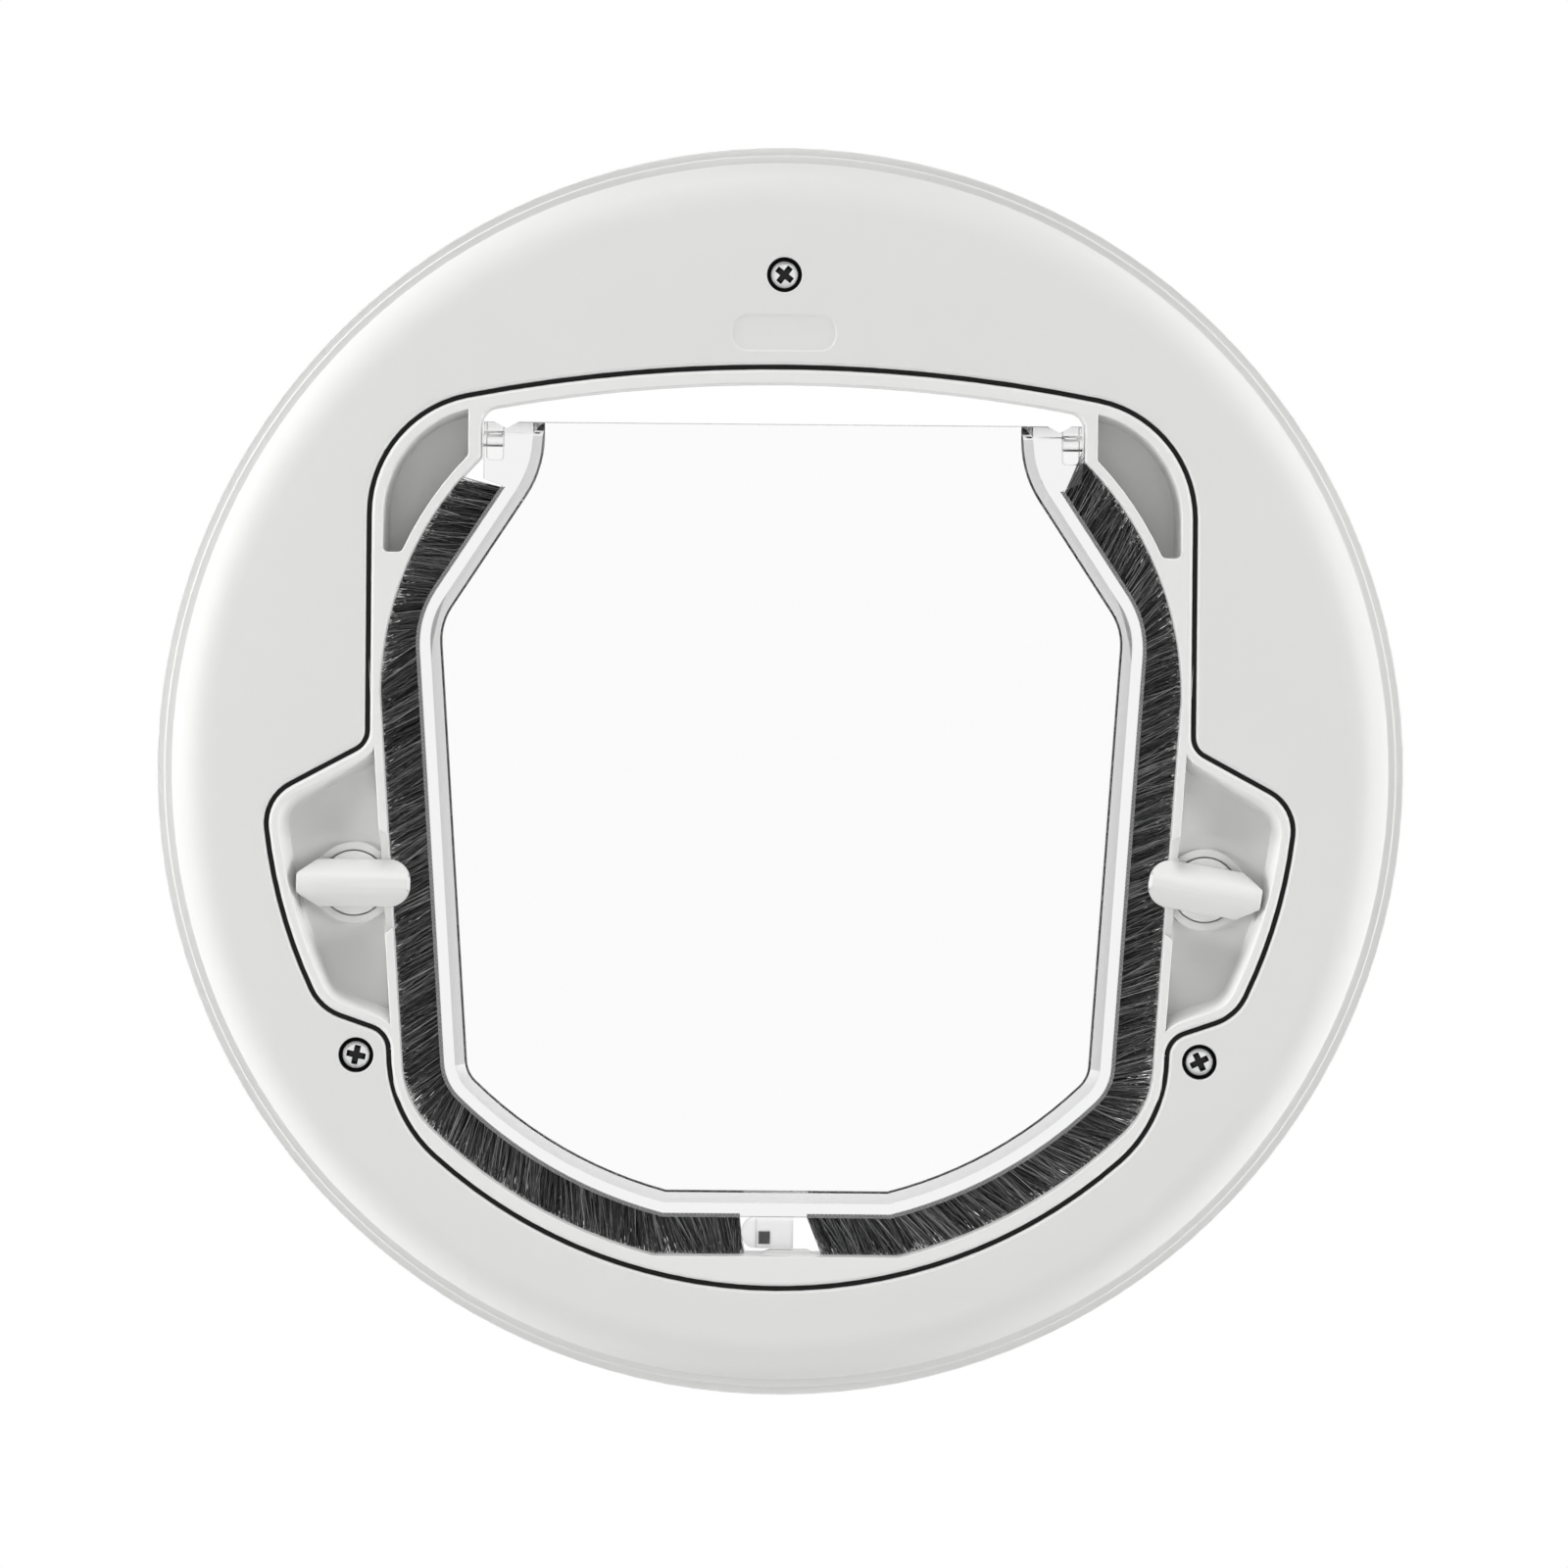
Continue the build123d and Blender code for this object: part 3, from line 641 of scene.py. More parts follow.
def new_tree(name: str, values: dict[str, Any]) -> tuple[Tree, Any]:
    """Start a Geometry Nodes tree that takes a mesh and named inputs and gives a mesh.

    Args:
        name: the tree's name.
        values: a value for each input, whose type gives the socket's kind.

    Returns:
        The tree, and the sockets that carry its inputs.
    """
    kinds = {float: "Float", int: "Int", bpy.types.Object: "Object", bpy.types.Material: "Material"}
    tree = bpy.data.node_groups.new(name, "GeometryNodeTree")
    tree.interface.new_socket("Geometry", in_out="INPUT", socket_type="NodeSocketGeometry")
    for socket, value in values.items():
        tree.interface.new_socket(socket, in_out="INPUT", socket_type=f"NodeSocket{kinds[type(value)]}")
    tree.interface.new_socket("Geometry", in_out="OUTPUT", socket_type="NodeSocketGeometry")
    return tree, add_node(tree, "NodeGroupInput", {}).outputs


def set_inputs(modifier: bpy.types.NodesModifier, values: dict[str, Any]) -> None:
    """Set a Geometry Nodes modifier's inputs by their sockets' identifiers.

    Args:
        modifier: the modifier, with its tree.
        values: a value for each named input.
    """
    for item in modifier.node_group.interface.items_tree:
        if item.item_type == "SOCKET" and item.in_out == "INPUT" and item.name in values:
            modifier[item.identifier] = values[item.name]


def hand_over(piece: Piece, nodes: Iterable[str], finish: Finish) -> None:
    """Let a piece stand for CAD nodes, move with their body and take its finish.

    Args:
        piece: the finished object.
        nodes: the CAD nodes that it replaces.
        finish: the surface that it has.
    """
    names = list(nodes)
    if not piece.data.materials:
        piece.data.materials.append(finish.material())
    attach(piece, body_of(names[0]))
    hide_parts(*names)
    log.info("%s: %d faces, rides on %s", piece.name, len(piece.data.polygons), body_of(names[0]))


@dataclass
class Moulding:
    """A rigid piece in its CAD shape, with merged faces, softened edges and a finish."""

    node: str
    finish: Finish
    edge: Edge = Edge.CRISP
    crease: float = STEEP_ANGLE
    joined: bool = True

    def build(self) -> Piece:
        """Merge the node's faces and soften its edges.

        Returns:
            The piece, not yet dressed.
        """
        shape = merged(self.node)
        if self.joined:
            flat = math.radians(FLAT_ANGLE)
            bmesh.ops.dissolve_limit(shape, angle_limit=flat, verts=shape.verts, edges=shape.edges)
        limit = math.radians(self.crease)
        for face in shape.faces:
            face.smooth = True
        for edge in shape.edges:
            edge.smooth = edge.calc_face_angle(0.0) < limit
        piece = new_piece(f"{self.node}_piece", shape)
        if self.edge is not Edge.KEEN:
            bevel = piece.modifiers.new("softened_edges", "BEVEL")
            bevel.width = self.edge.value * MM
            bevel.segments = BEVEL_SEGMENTS
            bevel.limit_method = "ANGLE"
            bevel.angle_limit = math.radians(STEEP_ANGLE)
            bevel.use_clamp_overlap = False
            bevel.harden_normals = True
            settle(piece)
            self.trim(piece)
        return piece

    def trim(self, piece: Piece) -> None:
        """Move corners that the softening pushed out of the CAD piece's box back onto it.

        Args:
            piece: the softened piece.
        """
        low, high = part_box(self.node)
        for corner in piece.data.vertices:
            corner.co = [min(max(corner.co[axis], low[axis]), high[axis]) for axis in range(3)]

    def dress(self) -> None:
        """Build the piece and let it stand for its node."""
        hand_over(self.build(), [self.node], self.finish)


@dataclass
class ScrewSet:
    """Three pan-head screws with a cross recess, one shape repeated at the three screw places.

    The crown's outline is given from its middle outwards, as shares of the head's radius and of the crown.
    """

    node: str = "clamp_screws"
    head_radius: float = 3.3
    head_height: float = 2.4
    shank_radius: float = 1.9
    crown: float = 0.7
    crown_outline: tuple[tuple[float, float], ...] = ((0.45, 0.12), (0.78, 0.5), (0.95, 1.0), (1.0, 1.7))
    recess_length: float = 5.1
    recess_width: float = 1.6
    recess_depth: float = 2.1
    recess_draft: float = 0.9
    side_draft_share: float = 0.3
    overshoot: float = 0.5
    thread_pitch: float = 1.6
    thread_depth: float = 0.32
    tip_share: float = 0.5
    tip_height: float = 0.3
    facets: int = 32
    sharp_angle: float = 35.0
    turns: tuple[float, float, float] = (38.0, 12.0, 64.0)

    def places(self) -> list[Vector]:
        """Find the centre of each head's underside from the CAD node's box.

        Returns:
            One point for each screw.
        """
        low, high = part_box(self.node)
        radius = self.head_radius * MM
        seat = low.y + self.head_height * MM
        side = high.x - radius
        return [
            Vector((0.0, seat, high.z - radius)),
            Vector((-side, seat, low.z + radius)),
            Vector((side, seat, low.z + radius)),
        ]

    def outline(self) -> list[tuple[float, float]]:
        """Draw half of a screw's section, from the head's crown to the tip.

        Returns:
            Radius and depth under the head's underside of each corner.
        """
        low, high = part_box(self.node)
        length = (high.y - low.y - self.head_height * MM) / MM
        corners = [(0.0, -self.head_height)]
        for radius_share, crown_share in self.crown_outline:
            corners.append((self.head_radius * radius_share, -self.head_height + self.crown * crown_share))
        corners.append((self.head_radius, 0.0))
        corners.append((self.shank_radius, 0.0))
        depth = self.thread_pitch / 2
        while depth < length - self.shank_radius:
            corners.append((self.shank_radius - self.thread_depth, depth))
            corners.append((self.shank_radius, depth + self.thread_pitch / 2))
            depth += self.thread_pitch
        corners.append((self.shank_radius * self.tip_share, length - self.tip_height))
        corners.append((0.0, length))
        return corners

    def shape(self) -> Piece:
        """Turn one screw about its own axis, its head towards -Y, and sink the cross into it.

        Returns:
            The screw, with its head's underside at the origin.
        """
        shape = bmesh.new()
        verts = [shape.verts.new((radius * MM, depth * MM, 0.0)) for radius, depth in self.outline()]
        edges = [shape.edges.new(pair) for pair in zip(verts, verts[1:])]
        bmesh.ops.spin(
            shape,
            geom=verts + edges,
            cent=(0, 0, 0),
            axis=(0, 1, 0),
            angle=2 * math.pi,
            steps=self.facets,
        )
        bmesh.ops.remove_doubles(shape, verts=shape.verts, dist=MERGE_GAP * MM)
        bmesh.ops.recalc_face_normals(shape, faces=shape.faces)
        screw = new_piece("screw_shape", shape)
        cutter = self.cross()
        cut = screw.modifiers.new("cross_recess", "BOOLEAN")
        cut.operation = "DIFFERENCE"
        cut.object = cutter
        settle(screw)
        bpy.data.objects.remove(cutter)
        screw.data.shade_smooth()
        screw.data.set_sharp_from_angle(angle=math.radians(self.sharp_angle))
        return screw

    def cross(self) -> Piece:
        """Make the tapered cross that is taken out of the head.

        Returns:
            The cutter.
        """
        shape = bmesh.new()
        top = -(self.head_height + self.overshoot)
        floor = -self.head_height + self.recess_depth
        quarter_turns = ((1, 0), (0, -1), (-1, 0), (0, 1))
        rings = []
        for depth, draft in ((top, 0.0), (floor, self.recess_draft)):
            long_half = self.recess_length / 2 - draft
            short_half = self.recess_width / 2 - draft * self.side_draft_share
            arm = ((short_half, short_half), (long_half, short_half), (long_half, -short_half))
            ring = []
            for cosine, sine in quarter_turns:
                for x, z in arm:
                    across = x * cosine - z * sine
                    upward = x * sine + z * cosine
                    ring.append(shape.verts.new((across * MM, depth * MM, upward * MM)))
            rings.append(ring)
        count = len(rings[0])
        for place in range(count):
            following = (place + 1) % count
            shape.faces.new((rings[0][place], rings[0][following], rings[1][following], rings[1][place]))
        shape.faces.new(rings[0])
        shape.faces.new(rings[1])
        bmesh.ops.recalc_face_normals(shape, faces=shape.faces)
        return new_piece("cross_cutter", shape)

    def tree(self, values: dict[str, Any]) -> Tree:
        """Build the Geometry Nodes tree that puts one screw at each place.

        Args:
            values: the tree's inputs, whose names and kinds it takes.

        Returns:
            The tree.
        """
        tree, given = new_tree("screws_at_places", values)
        screw = add_node(tree, "GeometryNodeObjectInfo", {"Object": given["Screw"]}).outputs["Geometry"]
        angles = add_node(tree, "ShaderNodeCombineXYZ", {"Y": recalled(tree, "FLOAT", "turn")})
        rotation = add_node(tree, "FunctionNodeEulerToRotation", {0: angles})
        placed = add_node(
            tree,
            "GeometryNodeInstanceOnPoints",
            {"Points": given["Geometry"], "Instance": screw, "Rotation": rotation},
        )
        real = add_node(tree, "GeometryNodeRealizeInstances", {"Geometry": placed})
        painted = add_node(
            tree, "GeometryNodeSetMaterial", {"Geometry": real, "Material": given["Finish"]}
        )
        add_node(tree, "NodeGroupOutput", {"Geometry": painted})
        return tree

    def dress(self) -> None:
        """Repeat the screw at its three places and let the set stand for its node."""
        screw = self.shape()
        points = bmesh.new()
        for place in self.places():
            points.verts.new(place)
        piece = new_piece(f"{self.node}_piece", points)
        turn = piece.data.attributes.new("turn", "FLOAT", "POINT")
        turn.data.foreach_set("value", [math.radians(angle) for angle in self.turns])
        modifier = piece.modifiers.new("screws", "NODES")
        values = {"Screw": screw, "Finish": ZINC.material()}
        modifier.node_group = self.tree(values)
        set_inputs(modifier, values)
        settle(piece)
        bpy.data.objects.remove(screw)
        hand_over(piece, [self.node], ZINC)


@dataclass
class ClampRings:
    """The two domed rings with their gaskets, the seam seals and the screws that clamp them."""

    ring_edge: Edge = Edge.MOULDED
    seal_edge: Edge = Edge.KEEN
    screws: ScrewSet = field(default_factory=ScrewSet)

    def dress(self) -> None:
        """Build and dress every piece of the clamping rings."""
        Moulding("inside_ring", RING_WHITE, self.ring_edge, BADGE_CREASE).dress()
        # The outside ring's flat faces close round several holes, so they stay as triangles
        Moulding("outside_ring", RING_WHITE, self.ring_edge, joined=False).dress()
        Moulding("screw_washers", SEAM_SHADE_BLACK, self.seal_edge).dress()
        for side in ("inside", "outside"):
            Moulding(f"{side}_gasket", GASKET_FOAM).dress()
            # The seam seals are painted shade: black strips where the seam's gap is in shade
            Moulding(f"{side}_seam_seal", SEAM_SHADE_BLACK, self.seal_edge).dress()
        self.screws.dress()


@dataclass
class TunnelFrame:
    """The white moulding inside the seam, with its bushes and the magnet under the sill."""

    wall_edge: Edge = Edge.MOULDED

    def dress(self) -> None:
        """Build and dress every piece of the tunnel frame."""
        Moulding("tunnel_frame", FRAME_WHITE, self.wall_edge).dress()
        Moulding("sill_magnet", FERRITE).dress()
        for side in SIDES:
            Moulding(f"{side}_hinge_bush", ACETAL).dress()


@dataclass
class Latch:
    """One turning latch: the wing on its spindle, its washer and its clip."""

    side: str
    wing_edge: Edge = Edge.MOULDED

    def dress(self) -> None:
        """Build and dress the three pieces of the latch."""
        Moulding(f"{self.side}_latch_knob", FRAME_WHITE, self.wing_edge).dress()
        Moulding(f"{self.side}_latch_washer", ZINC).dress()
        Moulding(f"{self.side}_latch_clip", ZINC).dress()


@dataclass
class PileStrip:
    """Bristles along one side of the flap, rooted on its edge and leaning along the tunnel's wall.

    The upper part stands on the flap's straight shoulder and is grown as a piece of its own.
    """

    side: str
    seed: int
    lean: float = 26.0
    lean_change: float = 14.0
    tuft: float = 7.0
    clump: float = 0.9
    clump_dark: float = 0.36
    clump_pale: float = 0.66
    paleness: float = 1.4
    fineness: int = 4
    corner_blur: int = 40
    splay: float = 0.12
    bend: float = 0.64
    density: float = 7.0
    radius: float = 0.14
    tip_share: float = 0.4
    longest: float = 11.0
    shortest_share: float = 0.9
    root_reach: float = 0.4
    wall_reach: float = 50.0
    wall_gap: float = 0.25
    split_height: float = 26.0
    end_room: float = 1.0
    fold_keep: float = 0.3
    upright_start: float = 7.4
    upright_end: float = 20.0
    far_side: float = 1000.0
    shoulder_slope: float = 56.7

    @property
    def sign(self) -> int:
        """Minus one on the left, one on the right."""
        return -1 if self.side == "left" else 1

    def ribbon(self, name: str) -> Piece:
        """Take the root faces of the CAD pile, the ones that lie on the woven tape.

        Args:
            name: the object's name.

        Returns:
            The root ribbon, facing the tunnel's wall.
        """
        shape = merged(f"{self.side}_pile")
        tape = tree_of(f"{self.side}_pile_backing")
        reach = self.root_reach * MM
        spare = []
        for face in shape.faces:
            nearest = tape.find_nearest(face.calc_center_median(), reach)[0]
            if nearest is None:
                spare.append(face)
        bmesh.ops.delete(shape, geom=spare, context="FACES")
        bmesh.ops.reverse_faces(shape, faces=shape.faces)
        return new_piece(name, shape)

    def highest_root(self) -> Vector:
        """Find the root ribbon's highest corner on a copy that is removed again.

        Returns:
            The corner.
        """
        probe = self.ribbon(f"{self.side}_pile_probe")
        highest = max((corner.co.copy() for corner in probe.data.vertices), key=lambda point: point.z)
        bpy.data.objects.remove(probe)
        return highest

    def inputs(self, lowest: float, highest: float) -> dict[str, Any]:
        """Work out the inputs of the bristles' tree for the roots between two heights.

        Args:
            lowest: lower height in millimetres.
            highest: upper height in millimetres.

        Returns:
            A value for each named input, lengths in metres and angles in radians.
        """
        # Only the left strip stands upright beside the centre tab, so the right one's change lies far off
        upright = (-self.upright_start, -self.upright_end) if self.side == "left" else (-self.far_side, 0.0)
        return {
            "Wall": frame["nodes"]["tunnel_frame"],
            "Finish": PILE_GREY.material(),
            "Seed": self.seed,
            "Fineness": self.fineness,
            "Corner Blur": self.corner_blur,
            "Density": self.density / MM**2,
            "Lowest": lowest * MM,
            "Highest": highest * MM,
            "Upright Start": upright[0] * MM,
            "Upright End": upright[1] * MM,
            "Lean": math.radians(self.lean),
            "Lean Change": math.radians(self.lean_change) / NOISE_MIDDLE,
            "Tuft Scale": per_metre(self.tuft),
            "Splay": self.splay,
            "Bend": self.bend * MM,
            "Radius": self.radius * MM,
            "Tip Radius": self.radius * self.tip_share * MM,
            "Longest": self.longest * MM,
            "Shortest Share": self.shortest_share,
            "Wall Reach": self.wall_reach * MM,
            "Wall Gap": self.wall_gap * MM,
            "Clump Scale": per_metre(self.clump),
            "Clump Dark": self.clump_dark,
            "Clump Pale": self.clump_pale,
            "Paleness": self.paleness,
        }

    def tree(self, values: dict[str, Any]) -> Tree:
        """Build the Geometry Nodes tree that grows bristles from a root ribbon to a wall.

        Args:
            values: the tree's inputs, whose names and kinds it takes.

        Returns:
            The tree, one for both strips.
        """
        known = bpy.data.node_groups.get("pile_bristles")
        if known:
            return known
        tree, given = new_tree("pile_bristles", values)
        # Fine faces whose directions are blurred, so that the bristles fan out at the flap's corners
        fine = add_node(
            tree, "GeometryNodeSubdivideMesh", {"Mesh": given["Geometry"], "Level": given["Fineness"]}
        )
        normal = add_node(tree, "GeometryNodeInputNormal", {})
        blurred = add_node(
            tree,
            "GeometryNodeBlurAttribute",
            {"Value": normal, "Iterations": given["Corner Blur"]},
            data_type="FLOAT_VECTOR",
        )
        ways = {"Geometry": fine, "Name": "root_way", "Value": blurred}
        aimed = stored(tree, "FLOAT_VECTOR", "POINT", ways)
        roots = add_node(
            tree,
            "GeometryNodeDistributePointsOnFaces",
            {"Mesh": aimed, "Density": given["Density"], "Seed": given["Seed"]},
            distribute_method="RANDOM",
        )
        place = add_node(tree, "GeometryNodeInputPosition", {})
        parts = add_node(tree, "ShaderNodeSeparateXYZ", {0: place}).outputs
        height = parts["Z"]
        above = add_node(
            tree, "FunctionNodeCompare", {0: height, 1: given["Lowest"]}, operation="GREATER_THAN"
        )
        below = add_node(
            tree, "FunctionNodeCompare", {0: height, 1: given["Highest"]}, operation="LESS_EQUAL"
        )
        outside = add_node(tree, "FunctionNodeBooleanMath", {0: above, 1: below}, operation="NAND")
        points = add_node(
            tree, "GeometryNodeDeleteGeometry", {"Geometry": roots, "Selection": outside}, domain="POINT"
        )
        # Angle of each bristle: tufts lean together, and those beside the centre tab stand upright
        tufts = noise(tree, place, given["Tuft Scale"], 2.0)
        swing = calc(tree, "SUBTRACT", tufts, NOISE_MIDDLE)
        change = calc(tree, "MULTIPLY_ADD", swing, given["Lean Change"], given["Lean"])
        upright = fade(tree, parts["X"], (given["Upright Start"], given["Upright End"]))
        angle = calc(tree, "MULTIPLY", change, upright)
        way = recalled(tree, "FLOAT_VECTOR", "root_way")
        leaning = add_node(
            tree,
            "ShaderNodeVectorRotate",
            {"Vector": way, "Axis": (0.0, -1.0, 0.0), "Angle": angle},
            rotation_type="AXIS_ANGLE",
        )
        most = given["Splay"]
        least = calc(tree, "MULTIPLY", most, -1.0)
        low_corner = add_node(tree, "ShaderNodeCombineXYZ", {"X": least, "Y": least, "Z": least})
        high_corner = add_node(tree, "ShaderNodeCombineXYZ", {"X": most, "Y": most, "Z": most})
        scatter = random_value(tree, "FLOAT_VECTOR", low_corner, high_corner, given["Seed"])
        aim = add_node(tree, "ShaderNodeVectorMath", {0: leaning, 1: scatter}, operation="ADD")
        straight = add_node(tree, "ShaderNodeVectorMath", {0: aim}, operation="NORMALIZE")
        # Length of each bristle: up to the wall, or its full length where the wall is further off
        wall = add_node(tree, "GeometryNodeObjectInfo", {"Object": given["Wall"]}).outputs["Geometry"]
        probe = add_node(
            tree,
            "GeometryNodeRaycast",
            {
                "Target Geometry": wall,
                "Source Position": place,
                "Ray Direction": straight,
                "Ray Length": given["Wall Reach"],
            },
        ).outputs
        free = calc(tree, "SUBTRACT", probe["Hit Distance"], given["Wall Gap"])
        reached = add_node(
            tree,
            "GeometryNodeSwitch",
            {"Switch": probe["Is Hit"], "False": given["Longest"], "True": free},
            input_type="FLOAT",
        )
        cut = random_value(tree, "FLOAT", given["Shortest Share"], 1.0, Draw.LENGTH.value)
        full = calc(tree, "MULTIPLY", given["Longest"], cut)
        length = calc(tree, "MINIMUM", reached, full)
        # One bristle is a three-sided tapered rod of length one, marked from root to tip
        rod = add_node(
            tree,
            "GeometryNodeMeshCone",
            {
                "Vertices": 3,
                "Side Segments": 3,
                "Radius Top": given["Tip Radius"],
                "Radius Bottom": given["Radius"],
                "Depth": 1.0,
            },
            fill_type="NONE",
        )
        marked = stored(tree, "FLOAT", "POINT", {"Geometry": rod, "Name": "along", "Value": height})
        rotation = add_node(tree, "FunctionNodeAlignRotationToVector", {"Vector": straight}, axis="Z")
        size = add_node(tree, "ShaderNodeCombineXYZ", {"X": 1.0, "Y": 1.0, "Z": length})
        placed = add_node(
            tree,
            "GeometryNodeInstanceOnPoints",
            {"Points": points, "Instance": marked, "Rotation": rotation, "Scale": size},
        )
        # Shade of each bristle, paler in some clumps than in others
        shade = random_value(tree, "FLOAT", 0.0, given["Paleness"], Draw.SHADE.value)
        clump = noise(tree, place, given["Clump Scale"], 1.0)
        bundle = fade(tree, clump, (given["Clump Dark"], given["Clump Pale"]))
        paler = calc(tree, "MULTIPLY", shade, bundle)
        tints = {"Geometry": placed, "Name": "tint", "Value": paler}
        tinted = stored(tree, "FLOAT", "INSTANCE", tints)
        curl = random_value(tree, "FLOAT_VECTOR", (-1.0, -1.0, -1.0), (1.0, 1.0, 1.0), Draw.CURL.value)
        curls = {"Geometry": tinted, "Name": "curl", "Value": curl}
        curled = stored(tree, "FLOAT_VECTOR", "INSTANCE", curls)
        real = add_node(tree, "GeometryNodeRealizeInstances", {"Geometry": curled})
        # Bend each bristle a little more towards its tip
        squared = calc(tree, "POWER", recalled(tree, "FLOAT", "along"), 2.0)
        amount = calc(tree, "MULTIPLY", squared, given["Bend"])
        bow = recalled(tree, "FLOAT_VECTOR", "curl")
        shift = add_node(tree, "ShaderNodeVectorMath", {0: bow, "Scale": amount}, operation="SCALE")
        bent = add_node(tree, "GeometryNodeSetPosition", {"Geometry": real, "Offset": shift})
        painted = add_node(
            tree, "GeometryNodeSetMaterial", {"Geometry": bent, "Material": given["Finish"]}
        )
        add_node(tree, "NodeGroupOutput", {"Geometry": painted})
        return tree

    def grow(self, name: str, lowest: float, highest: float) -> Piece:
        """Grow the bristles whose roots lie between two heights.

        Args:
            name: the piece's name.
            lowest: lower height in millimetres.
            highest: upper height in millimetres.

        Returns:
            The bristles as one mesh.
        """
        piece = self.ribbon(name)
        modifier = piece.modifiers.new("bristles", "NODES")
        values = self.inputs(lowest, highest)
        modifier.node_group = self.tree(values)
        set_inputs(modifier, values)
        settle(piece)
        return piece

    def dress(self) -> None:
        """Grow both parts of the strip and let them stand for the CAD pile."""
        node = f"{self.side}_pile"
        low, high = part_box(node)
        lower = self.grow(f"{self.side}_pile_side", low.z / MM - self.end_room, self.split_height)
        hand_over(lower, [node], PILE_GREY)
        upper = self.grow(f"{self.side}_pile_shoulder", self.split_height, high.z / MM + self.end_room)
        hand_over(upper, [node], PILE_GREY)
        anchor = self.highest_root()
        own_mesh(upper)
        Moulding(f"{self.side}_pile_backing", PILE_TAPE, Edge.KEEN).dress()


@dataclass
class Flap:
    """The clear swinging flap with its pins, its magnet and the pile strips round its edge."""

    strips: tuple[PileStrip, PileStrip] = field(
        default_factory=lambda: (PileStrip("left", seed=3), PileStrip("right", seed=8))
    )

    def dress(self) -> None:
        """Build and dress every piece of the flap."""
        Moulding("flap_panel", FLAP_CLEAR).dress()
        Moulding("flap_magnet", FERRITE).dress()
        for strip in self.strips:
            Moulding(f"{strip.side}_hinge_pin", FLAP_CLEAR).dress()
            strip.dress()


@dataclass(frozen=True)
class Lamp:
    """A soft box: where it stands and how large it is, in metres, and how strong."""

    name: str
    place: tuple[float, float, float]
    size: float
    watts: float


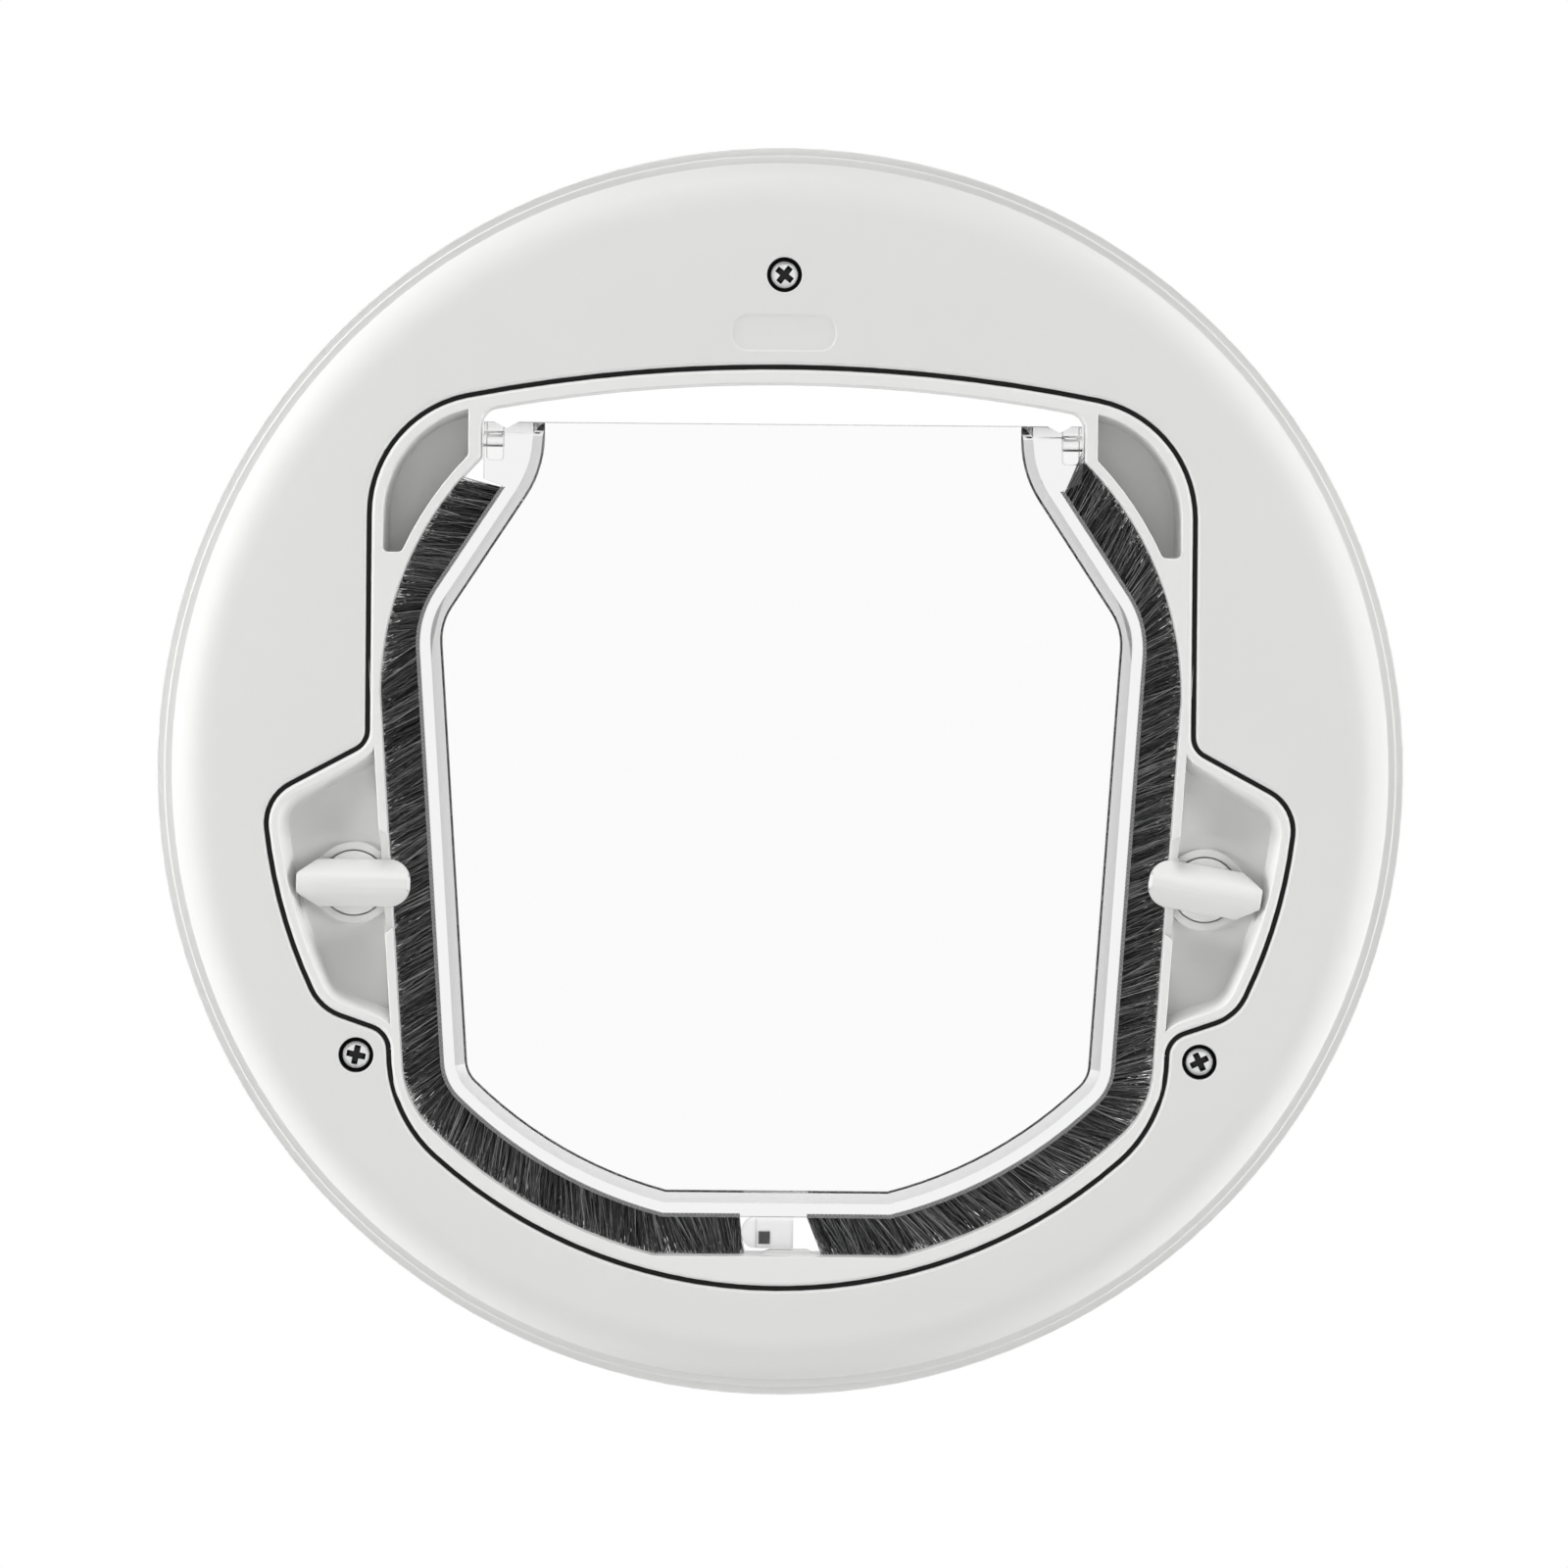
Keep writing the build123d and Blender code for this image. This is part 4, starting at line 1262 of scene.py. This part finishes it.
@dataclass
class Studio:
    """Pale floor, white surround, soft boxes and the camera at the photograph's angle."""

    distance: float = 3600.0
    view_width: float = 370.4
    centre_x: float = 0.6
    centre_z: float = -3.0
    raised: float = 0.6
    roll: float = 0.5
    sensor: float = 36.0
    floor_drop: float = 300.0
    floor_half: float = 1700.0
    ambient: float = 0.26
    white_angle: float = 12.0
    grey_angle: float = 26.0
    side_light: float = 0.72
    dim_start: float = 50.0
    dim_end: float = 70.0
    dim_light: float = 0.4
    lamps: tuple[Lamp, ...] = (
        Lamp("top_box", (-0.3, -0.5, 2.0), 1.0, 25.0),
        Lamp("left_box", (-2.0, -0.56, 0.1), 1.0, 33.0),
        Lamp("right_box", (2.0, -0.56, 0.1), 1.0, 31.0),
        Lamp("back_box", (0.4, 2.3, 0.6), 1.2, 30.0),
    )

    def floor(self) -> None:
        """Lay the pale floor some way under the object, which hangs in its pane of glass."""
        shape = bmesh.new()
        half = self.floor_half * MM
        height = -self.floor_drop * MM
        corners = ((-half, -half), (half, -half), (half, half), (-half, half))
        shape.faces.new([shape.verts.new((x, y, height)) for x, y in corners])
        floor = new_piece("studio_floor", shape)
        floor.data.materials.append(FLOOR_PAPER.material())

    def surround(self) -> None:
        """Make the surround white to the camera and through clear plastic, and softer as a light."""
        world = bpy.data.worlds.new("white_surround")
        bpy.context.scene.world = world
        world.use_nodes = True
        tree = world.node_tree
        tree.nodes.clear()
        path = add_node(tree, "ShaderNodeLightPath", {}).outputs
        # Through clear plastic the surround is white in front and behind, grey at the sides and dim across
        way = add_node(tree, "ShaderNodeTexCoord", {}).outputs["Generated"]
        depth = add_node(tree, "ShaderNodeSeparateXYZ", {0: way}).outputs["Y"]
        ahead = calc(tree, "ABSOLUTE", depth)
        seen = []
        for near, far, least in (
            (self.white_angle, self.grey_angle, self.side_light),
            (self.dim_start, self.dim_end, self.dim_light),
        ):
            ends = (math.cos(math.radians(far)), math.cos(math.radians(near)))
            seen.append(fade(tree, ahead, ends, (least, 1.0)))
        light = calc(tree, "MULTIPLY", *seen)
        mirrored = calc(tree, "MAXIMUM", path["Is Camera Ray"], path["Is Glossy Ray"])
        soft, plain, through = [
            add_node(tree, "ShaderNodeBackground", {"Color": linear(WHITE), "Strength": strength})
            for strength in (self.ambient, 1.0, light)
        ]
        outside = add_node(tree, "ShaderNodeMixShader", {0: mirrored, 1: soft, 2: plain})
        mixed = add_node(
            tree, "ShaderNodeMixShader", {0: path["Is Transmission Ray"], 1: outside, 2: through}
        )
        add_node(tree, "ShaderNodeOutputWorld", {"Surface": mixed})

    def light(self) -> None:
        """Hang the soft boxes, each turned to the object."""
        for lamp in self.lamps:
            data = bpy.data.lights.new(lamp.name, "AREA")
            data.shape = "DISK"
            data.size = lamp.size
            data.energy = lamp.watts
            box = bpy.data.objects.new(lamp.name, data)
            box.location = lamp.place
            box.rotation_euler = (-Vector(lamp.place)).to_track_quat("-Z", "Y").to_euler()
            box.visible_glossy = False
            box.visible_transmission = False
            bpy.context.scene.collection.objects.link(box)

    def camera(self) -> None:
        """Set the camera nearly square to the ring, as far off as in the photograph."""
        data = bpy.data.cameras.new("photo_camera")
        data.sensor_width = self.sensor
        data.lens = self.sensor * self.distance / self.view_width
        camera = bpy.data.objects.new("photo_camera", data)
        raised = math.radians(self.raised)
        target = Vector((self.centre_x, 0.0, self.centre_z)) * MM
        back = Vector((0.0, -math.cos(raised), math.sin(raised))) * self.distance * MM
        camera.location = target + back
        camera.rotation_euler = (math.pi / 2 - raised, -math.radians(self.roll), 0.0)
        bpy.context.scene.collection.objects.link(camera)
        bpy.context.scene.camera = camera

    def set_up(self) -> None:
        """Build the whole studio."""
        self.floor()
        self.surround()
        self.light()
        self.camera()
        bpy.context.scene.view_settings.view_transform = "Standard"


def main() -> None:
    """Build and dress the whole object, then the studio round it."""
    logging.basicConfig(level=logging.INFO, format="%(name)s %(message)s")
    ClampRings().dress()
    TunnelFrame().dress()
    for side in SIDES:
        Latch(side).dress()
    Flap().dress()
    Studio().set_up()


if __name__ == "__main__":
    main()
